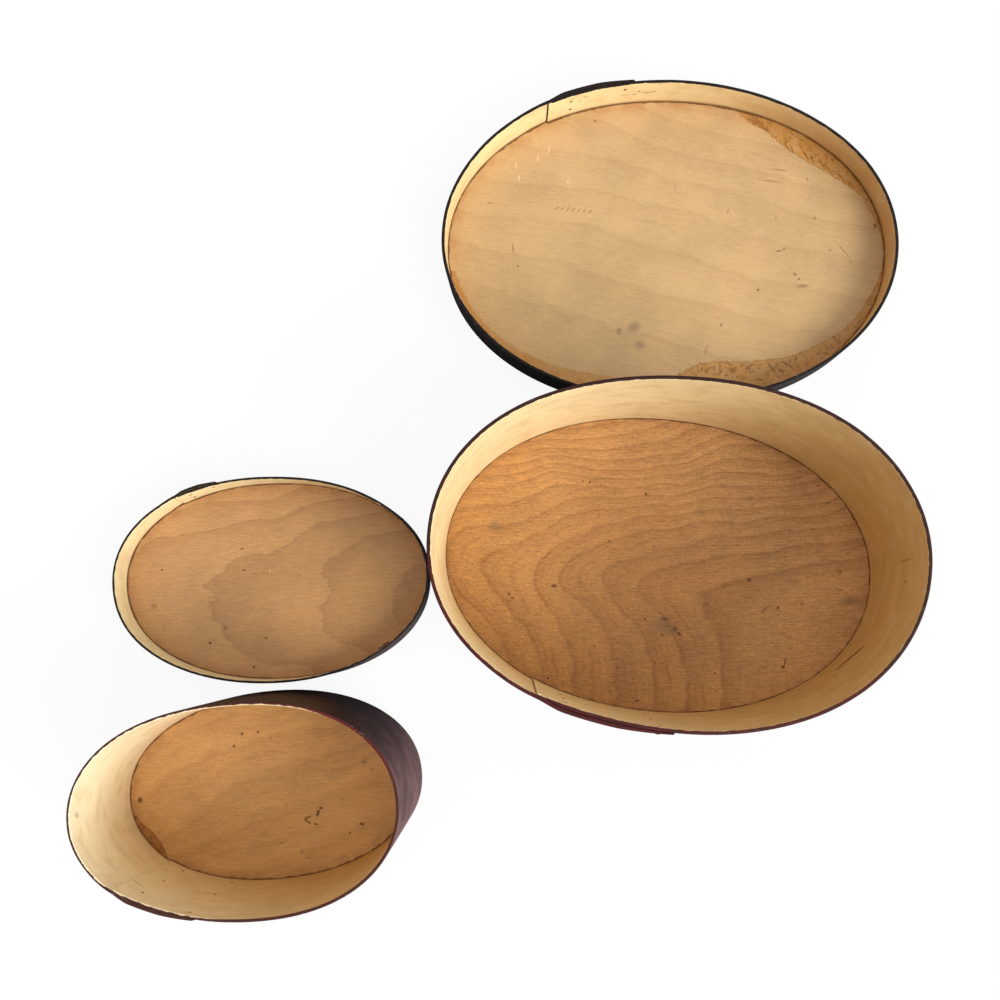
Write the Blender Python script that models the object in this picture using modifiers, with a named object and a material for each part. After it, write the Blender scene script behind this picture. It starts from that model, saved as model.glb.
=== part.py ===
"""Two oval bentwood boxes of the Shaker kind, standing open beside their upturned lids.

Every box and lid is made alike. A thin maple band is cut flat with swallowtail fingers, bent
round into an oval and lapped over its own start. The top finger's upper side runs on along the
rim, so the rim is double for the whole lap. Copper tacks, clinched inside, hold the lap.
A board is set inside the lower edge of the band, and wooden pegs through the band hold it.
The lids lie upside down beside their boxes, so their boards are at the bottom too.

The free rim of each band has sprung a little out of true since it was bent, so each wall is a
loft between the true oval at the board and the sprung curve of the rim.

Units are metres, +Z is up and the origin is under the middle of the whole footprint.
"""
import math
from dataclasses import dataclass

import bmesh
import bpy
import numpy as np
from mathutils import Matrix, Vector

MM = 0.001

# The large box and its lid: the oval over its band, the heights and the wood
LARGE_LENGTH = 240.0 * MM
LARGE_WIDTH = 166.1 * MM
LARGE_FULLNESS = 2.08
LARGE_BOX_HEIGHT = 95.9 * MM
LARGE_LID_HEIGHT = 24.5 * MM
LARGE_BOX_BAND = 2.0 * MM
LARGE_LID_BAND = 1.8 * MM
LARGE_BOARD = 6.1 * MM
LARGE_LID_CLEARANCE = 1.6 * MM
LARGE_BOX_LAP = 70.0 * MM
LARGE_LID_LAP = 50.0 * MM
LARGE_BOX_FINGER = 52.0 * MM
LARGE_LID_FINGER = 34.0 * MM

# The small box and its lid
SMALL_LENGTH = 165.5 * MM
SMALL_WIDTH = 106.1 * MM
SMALL_FULLNESS = 2.12
SMALL_BOX_HEIGHT = 91.0 * MM
SMALL_LID_HEIGHT = 21.1 * MM
SMALL_BOX_BAND = 1.6 * MM
SMALL_LID_BAND = 1.4 * MM
SMALL_BOARD = 5.7 * MM
SMALL_LID_CLEARANCE = 1.5 * MM
SMALL_BOX_LAP = 44.0 * MM
SMALL_LID_LAP = 24.0 * MM
SMALL_BOX_FINGER = 32.0 * MM
SMALL_LID_FINGER = 15.0 * MM

# How many fingers and pegs each has
LARGE_BOX_FINGERS = 4
SMALL_BOX_FINGERS = 3
LID_FINGERS = 1
LARGE_PEGS = 9
SMALL_PEGS = 6

# Where each band starts, as an angle of its oval, and how far the whole piece is turned, in degrees
LARGE_BOX_SEAM = -121.0
LARGE_LID_SEAM = 123.8
SMALL_BOX_SEAM = -137.8
SMALL_LID_SEAM = 125.6
LARGE_BOX_HEADING = -6.41
LARGE_LID_HEADING = -2.04
SMALL_BOX_HEADING = 6.35
SMALL_LID_HEADING = 1.96

# How far each rim has sprung: longer and wider than the oval at the board
LARGE_BOX_RIM_LENGTHENED = 0.0
LARGE_BOX_RIM_WIDENED = 5.7 * MM
LARGE_LID_RIM_LENGTHENED = -0.6 * MM
LARGE_LID_RIM_WIDENED = 1.9 * MM
SMALL_BOX_RIM_LENGTHENED = -4.1 * MM
SMALL_BOX_RIM_WIDENED = -0.2 * MM
SMALL_LID_RIM_LENGTHENED = 3.2 * MM
SMALL_LID_RIM_WIDENED = 0.3 * MM

# How far each rim is turned against the oval at the board, in degrees, and how much wider its right
# end is than its middle, as a share
LARGE_BOX_RIM_TWIST = 1.44
LARGE_LID_RIM_TWIST = -0.52
SMALL_BOX_RIM_TWIST = -3.14
SMALL_LID_RIM_TWIST = -0.2
LARGE_BOX_RIM_EGG = 0.0099
LARGE_LID_RIM_EGG = -0.0048
SMALL_BOX_RIM_EGG = 0.0409
SMALL_LID_RIM_EGG = -0.0174

# How far each rim strays from that curve, outwards in mm, at every 15 degrees of its oval
LARGE_BOX_RIM_STRAY = (-0.06, 0.07, 0.29, 0.67, 0.47, -0.09, -0.59, -0.68, 0.04, 0.72, 0.69, 0.23,
                       -0.01, 0.0, 0.09, -0.15, -1.32, -2.21, -1.57, -0.7, -0.03, 0.3, -0.03, -0.23)
LARGE_LID_RIM_STRAY = (0.42, 0.26, 0.08, -0.03, 0.05, 0.52, 0.79, 0.36, 0.06, 0.15, -0.13, 0.2,
                       0.75, 0.62, 0.04, -0.14, -0.31, -0.21, -0.13, -0.13, -0.2, -0.21, -0.09, 0.16)
SMALL_BOX_RIM_STRAY = (-0.11, -0.2, -0.07, 0.2, 0.21, -0.2, -0.41, -0.26, 0.08, 0.24, -0.02, -0.12,
                       0.06, 0.09, 0.19, -0.23, -0.91, -0.41, 0.0, 0.24, 0.44, 0.36, 0.13, 0.0)
SMALL_LID_RIM_STRAY = (-0.69, -0.59, -0.69, -0.49, 0.09, 0.34, 0.41, 0.41, 0.26, 0.36, 0.13, 0.07,
                       0.1, 0.16, 0.34, 0.26, 0.19, 0.32, 0.49, 0.22, -0.53, -1.1, -1.31, -1.05)

# The lap: the paper-thin start of the band, the slit between its two layers and the thinned tip
FEATHER_EDGE = 0.5 * MM
LAP_SLIT = 0.2 * MM
FEATHER_SHARE = 0.22
RAMP_SHARE = 0.45
TIP_TAPER_SHARE = 0.4
TIP_THICKNESS_SHARE = 0.35

# The swallowtails: widths are shares of one finger's pitch
NOTCH_WIDTH = 1.2 * MM
FINGER_TIP_SHARE = 0.36
FINGER_CURVE_SHARES = (0.0, 0.08, 0.22, 0.42, 0.68, 1.0)
FINGER_CURVE_POWER = 0.72

# Copper tacks, a clinched button on each inner end
TACK_HEAD_RADIUS = 1.9 * MM
TACK_HEAD_HEIGHT = 0.8 * MM
TACK_SHANK_RADIUS = 0.6 * MM
TACK_CLINCH_RADIUS = 1.4 * MM
TACK_CLINCH_HEIGHT = 0.5 * MM
TACK_DOME_RADIUS_SHARE = 0.6
TACK_DOME_HEIGHT_SHARE = 0.8
TACK_RIM_HEIGHT_SHARE = 0.2
TACK_CLINCH_FOOT_SHARE = 0.8
TACK_TIP_INSET_SHARE = 0.16
TACK_ROOT_INSET_SHARE = 1.06
LID_TACK_HEIGHT_SHARES = (0.3, 0.72)

# Wooden pegs, driven through the band into the edge of the board
PEG_RADIUS = 0.9 * MM
PEG_BITE = 6.5 * MM

# Gaps: a piece and what it is seated in, and how far a cutter runs past what it cuts
SEAT_GAP = 0.3 * MM
OVERRUN = 3.0 * MM

# Where the four pieces stand round the large box, as gaps between their ovals and sideways shifts
LARGE_LID_GAP = 5.3 * MM
LARGE_LID_SHIFT = 5.1 * MM
SMALL_LID_GAP = 6.7 * MM
SMALL_LID_SHIFT = -8.6 * MM
SMALL_BOX_GAP = 5.9 * MM
SMALL_BOX_SHIFT = -1.4 * MM

# Fineness of the model
BEND_STEP = 6.5 * MM
OVAL_SAMPLES = 720
HOLE_SIDES = 8
TACK_SIDES = 8
MERGE_DISTANCE = 0.001 * MM
ALONG = Vector((1.0, 0.0, 0.0))

# Colours, roughness and metallic value
BOX_PAINT = ((0.045, 0.012, 0.012), 0.45, 0.0)
LID_PAINT = ((0.014, 0.010, 0.010), 0.40, 0.0)
BOX_WOOD = ((0.52, 0.26, 0.10), 0.55, 0.0)
LARGE_LID_WOOD = ((0.66, 0.44, 0.23), 0.60, 0.0)
PEG_WOOD = ((0.46, 0.25, 0.11), 0.60, 0.0)
COPPER = ((0.36, 0.14, 0.07), 0.42, 1.0)


@dataclass(frozen=True)
class Tub:
    """A box or a lid, open side up: a band bent round a board.

    The seam is where the band starts, as an angle of the oval in degrees. The band runs from
    there in the direction of `sense`, +1 for anticlockwise from above, all the way round, and
    its end laps over its start. Twist is in degrees, and egg is the share by which the rim is
    wider at its right end than in the middle.
    """
    name: str
    half_length: float
    half_width: float
    fullness: float
    height: float
    band: float
    board: float
    lap: float
    finger: float
    fingers: int
    pegs: int
    seam: float
    sense: int
    rim_lengthened: float
    rim_widened: float
    rim_twist: float
    rim_egg: float
    rim_stray: tuple
    heading: float
    paint: tuple
    wood: tuple

    def oval(self, angle, height):
        """Points on the band's outer face, at angles in radians and at one height or as many."""
        rise = np.asarray(height) / self.height
        length = self.half_length + rise * self.rim_lengthened / 2
        width = self.half_width + rise * self.rim_widened / 2
        cos, sin = np.cos(angle), np.sin(angle)
        reach = (np.abs(cos) ** self.fullness + np.abs(sin) ** self.fullness) ** (-1 / self.fullness)
        x = length * cos * reach
        y = width * sin * reach * (1 + self.rim_egg * rise * x / length)
        stray = 1 + rise * closed_curve(self.rim_stray, angle) * MM / np.hypot(x, y)
        x, y = x * stray, y * stray
        turn = np.radians(self.rim_twist) * rise
        return np.stack([x * np.cos(turn) - y * np.sin(turn), x * np.sin(turn) + y * np.cos(turn)], axis=-1)

    def outward(self, angle, height):
        """Level unit vectors that point out of the band's outer face."""
        step = 2 * math.pi / OVAL_SAMPLES
        along = self.oval(angle + step, height) - self.oval(angle - step, height)
        along /= np.linalg.norm(along, axis=-1, keepdims=True)
        return np.stack([along[..., 1], -along[..., 0]], axis=-1)

    def run_table(self):
        """Distances run along the band from its start, at even steps of angle over one turn."""
        steps = np.linspace(0.0, 2 * math.pi, OVAL_SAMPLES + 1)
        points = self.oval(math.radians(self.seam) + self.sense * steps, 0.0)
        runs = np.linalg.norm(np.diff(points, axis=0), axis=1).cumsum()
        return steps, np.concatenate([[0.0], runs])

    def girth(self):
        """The length of one turn of the band."""
        return float(self.run_table()[1][-1])

    def angle_at(self, run):
        """The oval's angle where the band has run a given distance from its start."""
        steps, runs = self.run_table()
        girth = runs[-1]
        turns = np.floor(np.asarray(run) / girth)
        angle = np.interp(np.asarray(run) - turns * girth, runs, steps)
        return math.radians(self.seam) + self.sense * angle

    def thickness(self, run):
        """The band's thickness: thin where it starts, full along its length, thin again at its tips."""
        run = np.asarray(run)
        start = smooth(run / (FEATHER_SHARE * self.lap))
        left = self.girth() + self.lap - run
        tip = np.clip(left / (TIP_TAPER_SHARE * self.lap), 0.0, 1.0)
        thin = FEATHER_EDGE + (self.band - FEATHER_EDGE) * start
        return thin * (TIP_THICKNESS_SHARE + (1 - TIP_THICKNESS_SHARE) * tip)

    def inner_face(self, run):
        """How far the band's inner face lies outside the oval of its outer face."""
        run = np.asarray(run)
        ramp = RAMP_SHARE * self.lap
        past = run - self.girth()
        climb = (FEATHER_EDGE + LAP_SLIT) * smooth((past + ramp) / ramp)
        over = (self.band - FEATHER_EDGE) * smooth(past / (FEATHER_SHARE * self.lap))
        return -self.band + climb + over

    def bend(self, run, height, depth):
        """Takes points of the flat strip, depth 0 inside to 1 outside, to their place in the wall."""
        angle = self.angle_at(run)
        offset = self.inner_face(run) + depth * self.thickness(run)
        flat = self.oval(angle, height) + self.outward(angle, height) * offset[..., None]
        return np.concatenate([flat, np.asarray(height)[..., None]], axis=-1)

    def finger_pitch(self):
        """The height of the band that one finger takes."""
        return self.height / self.fingers

    def finger_tip(self):
        """The height of a finger's tip, which is the same for all."""
        return FINGER_TIP_SHARE * self.finger_pitch()

    def tack_spots(self):
        """Distances along the band and heights of the tacks: one at each tip, one at each root."""
        end = self.girth() + self.lap
        tip = end - TACK_TIP_INSET_SHARE * self.finger
        root = end - TACK_ROOT_INSET_SHARE * self.finger
        middles = [(number + 0.5) * self.finger_pitch() for number in range(self.fingers)]
        tips = middles[:-1] + [self.height - self.finger_tip() / 2]
        roots = middles
        if self.fingers == 1:
            roots = [self.board + share * (self.height - self.board) for share in LID_TACK_HEIGHT_SHARES]
        return [(tip, height) for height in tips] + [(root, height) for height in roots]

    def tack_seat(self, run):
        """How far outside the oval the foot of a tack's head lies."""
        return float(self.inner_face(run) + self.thickness(run)) + SEAT_GAP

    def peg_spots(self):
        """Distances along the band of the pegs, spread over the stretch that isn't lapped."""
        first = self.lap
        last = self.girth() - RAMP_SHARE * self.lap
        step = (last - first) / self.pegs
        return [first + (number + 0.5) * step for number in range(self.pegs)]


def closed_curve(values, angle):
    """The smoothest closed curve through values at even steps of a turn: a sum of whole waves."""
    waves = np.fft.rfft(values) / len(values)
    orders = np.arange(len(waves))
    weights = np.where((orders == 0) | (orders == len(values) / 2), 1.0, 2.0)
    turns = np.exp(1j * np.multiply.outer(np.asarray(angle), orders))
    return (turns * (waves * weights)).real.sum(axis=-1)


def smooth(share):
    """Zero below 0, one above 1 and an even ease between them."""
    share = np.clip(share, 0.0, 1.0)
    return share * share * (3 - 2 * share)


def make_material(name, finish):
    """A Principled material from a colour, a roughness and a metallic value."""
    colour, roughness, metallic = finish
    material = bpy.data.materials.new(name)
    material.use_nodes = True
    shader = material.node_tree.nodes["Principled BSDF"]
    shader.inputs["Base Color"].default_value = (*colour, 1.0)
    shader.inputs["Roughness"].default_value = roughness
    shader.inputs["Metallic"].default_value = metallic
    material.diffuse_color = (*colour, 1.0)
    return material


def add_object(name, mesh, collection, parent=None):
    """Puts a mesh into a collection as a named object."""
    obj = bpy.data.objects.new(name, mesh)
    collection.objects.link(obj)
    obj.parent = parent
    return obj


def add_cutter(name, mesh, collection):
    """Puts a cutter into its collection, drawn as wire and never rendered."""
    cutter = add_object(name, mesh, collection)
    cutter.hide_render = True
    cutter.display_type = 'WIRE'
    return cutter


def prism_from_outline(name, points, thickness):
    """A closed mesh: a flat outline, filled and made thick about its plane."""
    curve = bpy.data.curves.new(name, 'CURVE')
    curve.dimensions = '2D'
    curve.fill_mode = 'BOTH'
    curve.extrude = thickness / 2
    spline = curve.splines.new('POLY')
    spline.points.add(len(points) - 1)
    for point, (x, y) in zip(spline.points, points):
        point.co = (x, y, 0.0, 1.0)
    spline.use_cyclic_u = True
    outline = bpy.data.objects.new(name, curve)
    bpy.context.scene.collection.objects.link(outline)
    evaluated = outline.evaluated_get(bpy.context.evaluated_depsgraph_get())
    mesh = bpy.data.meshes.new_from_object(evaluated)
    mesh.name = name
    bpy.data.objects.remove(outline)
    edit_mesh(mesh, lambda bm: bmesh.ops.remove_doubles(bm, verts=bm.verts, dist=MERGE_DISTANCE))
    return mesh


def edit_mesh(mesh, change):
    """Runs one change on a mesh through bmesh."""
    bm = bmesh.new()
    bm.from_mesh(mesh)
    change(bm)
    bm.to_mesh(mesh)
    bm.free()


def rod_mesh(name, radius, length, sides):
    """A closed cylinder about Z, with its foot at the origin."""
    mesh = bpy.data.meshes.new(name)
    bm = bmesh.new()
    bmesh.ops.create_cone(bm, cap_ends=True, segments=sides, radius1=radius, radius2=radius, depth=length,
                          matrix=Matrix.Translation((0.0, 0.0, length / 2)))
    bm.to_mesh(mesh)
    bm.free()
    return mesh


def flat_strip(tub):
    """The band before it is bent: a long thin block, cut across at every bending step."""
    girth = tub.girth()
    steps = round(girth / BEND_STEP)
    step = girth / steps
    length = girth + tub.lap
    mesh = bpy.data.meshes.new(f"{tub.name}_band")
    bm = bmesh.new()
    bmesh.ops.create_cube(bm, size=1.0)
    bmesh.ops.translate(bm, verts=bm.verts, vec=(0.5, 0.5, 0.0))
    bmesh.ops.scale(bm, verts=bm.verts, vec=(length, tub.height, tub.band))
    for number in range(1, math.ceil(length / step)):
        geometry = bm.verts[:] + bm.edges[:] + bm.faces[:]
        place = Vector((number * step, 0.0, 0.0))
        bmesh.ops.bisect_plane(bm, geom=geometry, dist=MERGE_DISTANCE, plane_co=place, plane_no=ALONG)
    bm.to_mesh(mesh)
    bm.free()
    return mesh


def finger_side(tub, tip):
    """One side of a finger: distances from its root, and half widths that fall to that of the tip."""
    root = (tub.finger_pitch() - NOTCH_WIDTH) / 2
    return [(share * tub.finger, tip + (root - tip) * (1 - share ** FINGER_CURVE_POWER))
            for share in FINGER_CURVE_SHARES]


def notch_outlines(tub):
    """Flat outlines of what is cut away between the fingers and below the lowest.

    The top finger's upper side is the rim, so its lower side falls further, to the same tip.
    """
    pitch = tub.finger_pitch()
    start = tub.girth() + tub.lap - tub.finger
    past = start + tub.finger + OVERRUN
    plain = finger_side(tub, tub.finger_tip() / 2)
    lower_sides = [plain] * (tub.fingers - 1) + [finger_side(tub, tub.finger_tip() - pitch / 2)]
    outlines = []
    for number in range(tub.fingers - 1):
        below = (number + 0.5) * pitch
        above = below + pitch
        lower = [(start + run, below + half) for run, half in plain]
        upper = [(start + run, above - half) for run, half in lower_sides[number + 1]]
        outlines.append(lower + [(past, lower[-1][1]), (past, upper[-1][1])] + upper[::-1])
    lowest = [(start + run, pitch / 2 - half) for run, half in lower_sides[0]]
    outlines.append(lowest + [(past, lowest[-1][1]), (past, -OVERRUN), (start, -OVERRUN)])
    return outlines


def cut_by(mesh, cutters, collection):
    """The mesh less every cutter of a collection, as a new mesh."""
    block = add_object(mesh.name, mesh, collection)
    boolean = block.modifiers.new("Cut", 'BOOLEAN')
    boolean.operation = 'DIFFERENCE'
    boolean.solver = 'EXACT'
    boolean.operand_type = 'COLLECTION'
    boolean.collection = cutters
    evaluated = block.evaluated_get(bpy.context.evaluated_depsgraph_get())
    cut = bpy.data.meshes.new_from_object(evaluated)
    cut.name = mesh.name
    bpy.data.objects.remove(block)
    return cut


def drop_cutters(cutters):
    """Removes a collection of cutters and all in it."""
    for cutter in list(cutters.objects):
        bpy.data.objects.remove(cutter)
    bpy.data.collections.remove(cutters)


def band_mesh(tub, cutters_home):
    """The band: cut flat with its fingers and holes, then bent round the oval."""
    flat_cutters = bpy.data.collections.new(f"{tub.name}_flat_cutters")
    cutters_home.children.link(flat_cutters)
    deep = tub.band + 2 * OVERRUN
    for number, outline in enumerate(notch_outlines(tub)):
        add_cutter(f"notch_{number}", prism_from_outline("notch", outline, deep), flat_cutters)
    tack_hole = TACK_SHANK_RADIUS + SEAT_GAP
    holes = []
    for run, height in tub.tack_spots():
        holes += [(run, height, tack_hole), (run - tub.girth(), height, tack_hole)]
    holes += [(run, tub.board / 2, PEG_RADIUS + SEAT_GAP) for run in tub.peg_spots()]
    for number, (run, height, radius) in enumerate(holes):
        drill = add_cutter(f"hole_{number}", rod_mesh("hole", radius, deep, HOLE_SIDES), flat_cutters)
        drill.location = (run, height, -deep / 2)
    mesh = cut_by(flat_strip(tub), flat_cutters, bpy.context.scene.collection)
    drop_cutters(flat_cutters)

    def bend_all(bm):
        wide = [face for face in bm.faces if len(face.verts) > 4]
        bmesh.ops.triangulate(bm, faces=wide)
        flat = np.array([vert.co for vert in bm.verts])
        bent = tub.bend(flat[:, 0], flat[:, 1], flat[:, 2] / tub.band + 0.5)
        for vert, point in zip(bm.verts, bent):
            vert.co = point
        if tub.sense < 0:
            bmesh.ops.reverse_faces(bm, faces=bm.faces)

    edit_mesh(mesh, bend_all)
    return mesh


def spot_matrix(tub, run, height, offset):
    """A frame on the wall at an offset from the oval, with Z pointing out of the wall."""
    angle = tub.angle_at(run)
    out = tub.outward(angle, height)
    point = tub.oval(angle, height) + out * offset
    outward = Vector((out[0], out[1], 0.0))
    turn = outward.to_track_quat('Z', 'Y').to_matrix().to_4x4()
    return Matrix.Translation((point[0], point[1], height)) @ turn


def tack_mesh(tub, seat):
    """The profile of a tack: a domed head, a shank from its seat through the lap, and a clinched button."""
    grip = seat + tub.band + SEAT_GAP
    bottom = -grip - TACK_CLINCH_HEIGHT
    profile = [(0.0, TACK_HEAD_HEIGHT),
               (TACK_HEAD_RADIUS * TACK_DOME_RADIUS_SHARE, TACK_HEAD_HEIGHT * TACK_DOME_HEIGHT_SHARE),
               (TACK_HEAD_RADIUS, TACK_HEAD_HEIGHT * TACK_RIM_HEIGHT_SHARE), (TACK_HEAD_RADIUS, 0.0),
               (TACK_SHANK_RADIUS, 0.0), (TACK_SHANK_RADIUS, -grip), (TACK_CLINCH_RADIUS, -grip),
               (TACK_CLINCH_RADIUS * TACK_CLINCH_FOOT_SHARE, bottom), (0.0, bottom)]
    mesh = bpy.data.meshes.new(f"{tub.name}_tack")
    bm = bmesh.new()
    verts = [bm.verts.new((x, 0.0, z)) for x, z in profile]
    for upper, lower in zip(verts, verts[1:]):
        bm.edges.new((upper, lower))
    bm.to_mesh(mesh)
    bm.free()
    return mesh


def add_tack(name, mesh, collection, parent):
    """A tack as an object: its profile, turned about Z."""
    tack = add_object(name, mesh, collection, parent)
    turned = tack.modifiers.new("Turn", 'SCREW')
    turned.steps = TACK_SIDES
    turned.render_steps = TACK_SIDES
    turned.use_merge_vertices = True
    turned.merge_threshold = MERGE_DISTANCE
    return tack


def board_outline(tub):
    """The board's outline inside the band: at its foot, or at its top where the wall leans in."""
    steps = round(tub.girth() / BEND_STEP)
    angles = np.arange(steps) * 2 * math.pi / steps
    foot, top = tub.oval(angles, 0.0), tub.oval(angles, tub.board)
    leans_in = np.linalg.norm(top, axis=-1) < np.linalg.norm(foot, axis=-1)
    inset = tub.band + SEAT_GAP
    return np.where(leans_in[:, None], top, foot) - tub.outward(angles, 0.0) * inset


def add_board(tub, collection, cutters_home, parent):
    """The board: a flat oval with a blind hole in its edge for each peg."""
    mesh = prism_from_outline(f"{tub.name}_board", board_outline(tub), tub.board)
    board = add_object(f"{tub.name}_board", mesh, collection, parent)
    board.location = (0.0, 0.0, tub.board / 2)
    drills = bpy.data.collections.new(f"{tub.name}_drills")
    cutters_home.children.link(drills)
    depth = PEG_BITE + 2 * SEAT_GAP
    drill_mesh = rod_mesh(f"{tub.name}_drill", PEG_RADIUS + SEAT_GAP, depth + OVERRUN, HOLE_SIDES)
    for number, run in enumerate(tub.peg_spots(), 1):
        drill = add_cutter(f"{tub.name}_drill_{number}", drill_mesh, drills)
        drill.parent = parent
        drill.matrix_local = spot_matrix(tub, run, tub.board / 2, -tub.band - depth)
    boolean = board.modifiers.new("Drill", 'BOOLEAN')
    boolean.operation = 'DIFFERENCE'
    boolean.solver = 'EXACT'
    boolean.operand_type = 'COLLECTION'
    boolean.collection = drills
    return board


def build_tub(tub, place, collection, cutters_home, metal, peg_material):
    """Makes every piece of one box or lid under an empty at its place."""
    empty = bpy.data.objects.new(f"{tub.name}_place", None)
    collection.objects.link(empty)
    empty.location = (*place, 0.0)
    empty.rotation_euler = (0.0, 0.0, math.radians(tub.heading))

    band = add_object(f"{tub.name}_band", band_mesh(tub, cutters_home), collection, empty)
    band.data.materials.append(make_material(f"{tub.name}_paint", tub.paint))

    board = add_board(tub, collection, cutters_home, empty)
    board.data.materials.append(make_material(f"{tub.name}_wood", tub.wood))

    for number, (run, height) in enumerate(tub.tack_spots(), 1):
        seat = tub.tack_seat(run)
        tack_shape = tack_mesh(tub, seat)
        tack_shape.materials.append(metal)
        tack = add_tack(f"{tub.name}_tack_{number}", tack_shape, collection, empty)
        tack.matrix_local = spot_matrix(tub, run, height, seat)

    length = tub.band + SEAT_GAP + PEG_BITE
    peg_shape = rod_mesh(f"{tub.name}_peg", PEG_RADIUS, length, HOLE_SIDES)
    peg_shape.materials.append(peg_material)
    for number, run in enumerate(tub.peg_spots(), 1):
        peg = add_object(f"{tub.name}_peg_{number}", peg_shape, collection, empty)
        peg.matrix_local = spot_matrix(tub, run, tub.board / 2, -length)
    return empty


def centre_on_footprint(collection, empties):
    """Moves the places so that the origin is under the middle of the whole footprint."""
    bpy.context.view_layer.update()
    depsgraph = bpy.context.evaluated_depsgraph_get()
    corners = []
    for obj in collection.objects:
        if obj.type == 'MESH':
            evaluated = obj.evaluated_get(depsgraph)
            corners += [obj.matrix_world @ vert.co for vert in evaluated.data.vertices]
    corners = np.array(corners)
    middle = (corners.min(axis=0) + corners.max(axis=0)) / 2
    for empty in empties:
        empty.location.x -= middle[0]
        empty.location.y -= middle[1]
    bpy.context.view_layer.update()


def describe_tubs():
    """The four pieces, each with the sizes that it shares with its partner."""
    large_grow = LARGE_LID_CLEARANCE + LARGE_LID_BAND
    small_grow = SMALL_LID_CLEARANCE + SMALL_LID_BAND
    large_box = Tub(
        name="large_box", half_length=LARGE_LENGTH / 2, half_width=LARGE_WIDTH / 2,
        fullness=LARGE_FULLNESS, height=LARGE_BOX_HEIGHT, band=LARGE_BOX_BAND, board=LARGE_BOARD,
        lap=LARGE_BOX_LAP, finger=LARGE_BOX_FINGER, fingers=LARGE_BOX_FINGERS, pegs=LARGE_PEGS,
        seam=LARGE_BOX_SEAM, sense=1, rim_lengthened=LARGE_BOX_RIM_LENGTHENED,
        rim_widened=LARGE_BOX_RIM_WIDENED, rim_twist=LARGE_BOX_RIM_TWIST, rim_egg=LARGE_BOX_RIM_EGG,
        rim_stray=LARGE_BOX_RIM_STRAY, heading=LARGE_BOX_HEADING, paint=BOX_PAINT, wood=BOX_WOOD)
    large_lid = Tub(
        name="large_lid", half_length=LARGE_LENGTH / 2 + large_grow, half_width=LARGE_WIDTH / 2 + large_grow,
        fullness=LARGE_FULLNESS, height=LARGE_LID_HEIGHT, band=LARGE_LID_BAND, board=LARGE_BOARD,
        lap=LARGE_LID_LAP, finger=LARGE_LID_FINGER, fingers=LID_FINGERS, pegs=LARGE_PEGS,
        seam=LARGE_LID_SEAM, sense=-1, rim_lengthened=LARGE_LID_RIM_LENGTHENED,
        rim_widened=LARGE_LID_RIM_WIDENED, rim_twist=LARGE_LID_RIM_TWIST, rim_egg=LARGE_LID_RIM_EGG,
        rim_stray=LARGE_LID_RIM_STRAY, heading=LARGE_LID_HEADING, paint=LID_PAINT, wood=LARGE_LID_WOOD)
    small_box = Tub(
        name="small_box", half_length=SMALL_LENGTH / 2, half_width=SMALL_WIDTH / 2,
        fullness=SMALL_FULLNESS, height=SMALL_BOX_HEIGHT, band=SMALL_BOX_BAND, board=SMALL_BOARD,
        lap=SMALL_BOX_LAP, finger=SMALL_BOX_FINGER, fingers=SMALL_BOX_FINGERS, pegs=SMALL_PEGS,
        seam=SMALL_BOX_SEAM, sense=1, rim_lengthened=SMALL_BOX_RIM_LENGTHENED,
        rim_widened=SMALL_BOX_RIM_WIDENED, rim_twist=SMALL_BOX_RIM_TWIST, rim_egg=SMALL_BOX_RIM_EGG,
        rim_stray=SMALL_BOX_RIM_STRAY, heading=SMALL_BOX_HEADING, paint=BOX_PAINT, wood=BOX_WOOD)
    small_lid = Tub(
        name="small_lid", half_length=SMALL_LENGTH / 2 + small_grow, half_width=SMALL_WIDTH / 2 + small_grow,
        fullness=SMALL_FULLNESS, height=SMALL_LID_HEIGHT, band=SMALL_LID_BAND, board=SMALL_BOARD,
        lap=SMALL_LID_LAP, finger=SMALL_LID_FINGER, fingers=LID_FINGERS, pegs=SMALL_PEGS,
        seam=SMALL_LID_SEAM, sense=-1, rim_lengthened=SMALL_LID_RIM_LENGTHENED,
        rim_widened=SMALL_LID_RIM_WIDENED, rim_twist=SMALL_LID_RIM_TWIST, rim_egg=SMALL_LID_RIM_EGG,
        rim_stray=SMALL_LID_RIM_STRAY, heading=SMALL_LID_HEADING, paint=LID_PAINT, wood=BOX_WOOD)
    return large_box, large_lid, small_box, small_lid


def places(large_box, large_lid, small_box, small_lid):
    """Where each piece stands: the lid beyond its box, the small pair to the left of the large box."""
    beyond = large_box.half_width + large_lid.half_width + LARGE_LID_GAP
    left = large_box.half_length + small_lid.half_length + SMALL_LID_GAP
    nearer = small_lid.half_width + small_box.half_width + SMALL_BOX_GAP
    return [(0.0, 0.0), (LARGE_LID_SHIFT, beyond), (SMALL_BOX_SHIFT - left, SMALL_LID_SHIFT - nearer),
            (-left, SMALL_LID_SHIFT)]


def main():
    """Clears the scene and makes the set."""
    for obj in list(bpy.data.objects):
        bpy.data.objects.remove(obj)
    parts = bpy.data.collections.new("shaker_oval_boxes")
    cutters = bpy.data.collections.new("cutters")
    bpy.context.scene.collection.children.link(parts)
    bpy.context.scene.collection.children.link(cutters)
    metal = make_material("copper", COPPER)
    peg_material = make_material("peg_wood", PEG_WOOD)
    tubs = describe_tubs()
    empties = [build_tub(tub, place, parts, cutters, metal, peg_material)
               for tub, place in zip(tubs, places(*tubs))]
    centre_on_footprint(parts, empties)


main()
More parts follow.
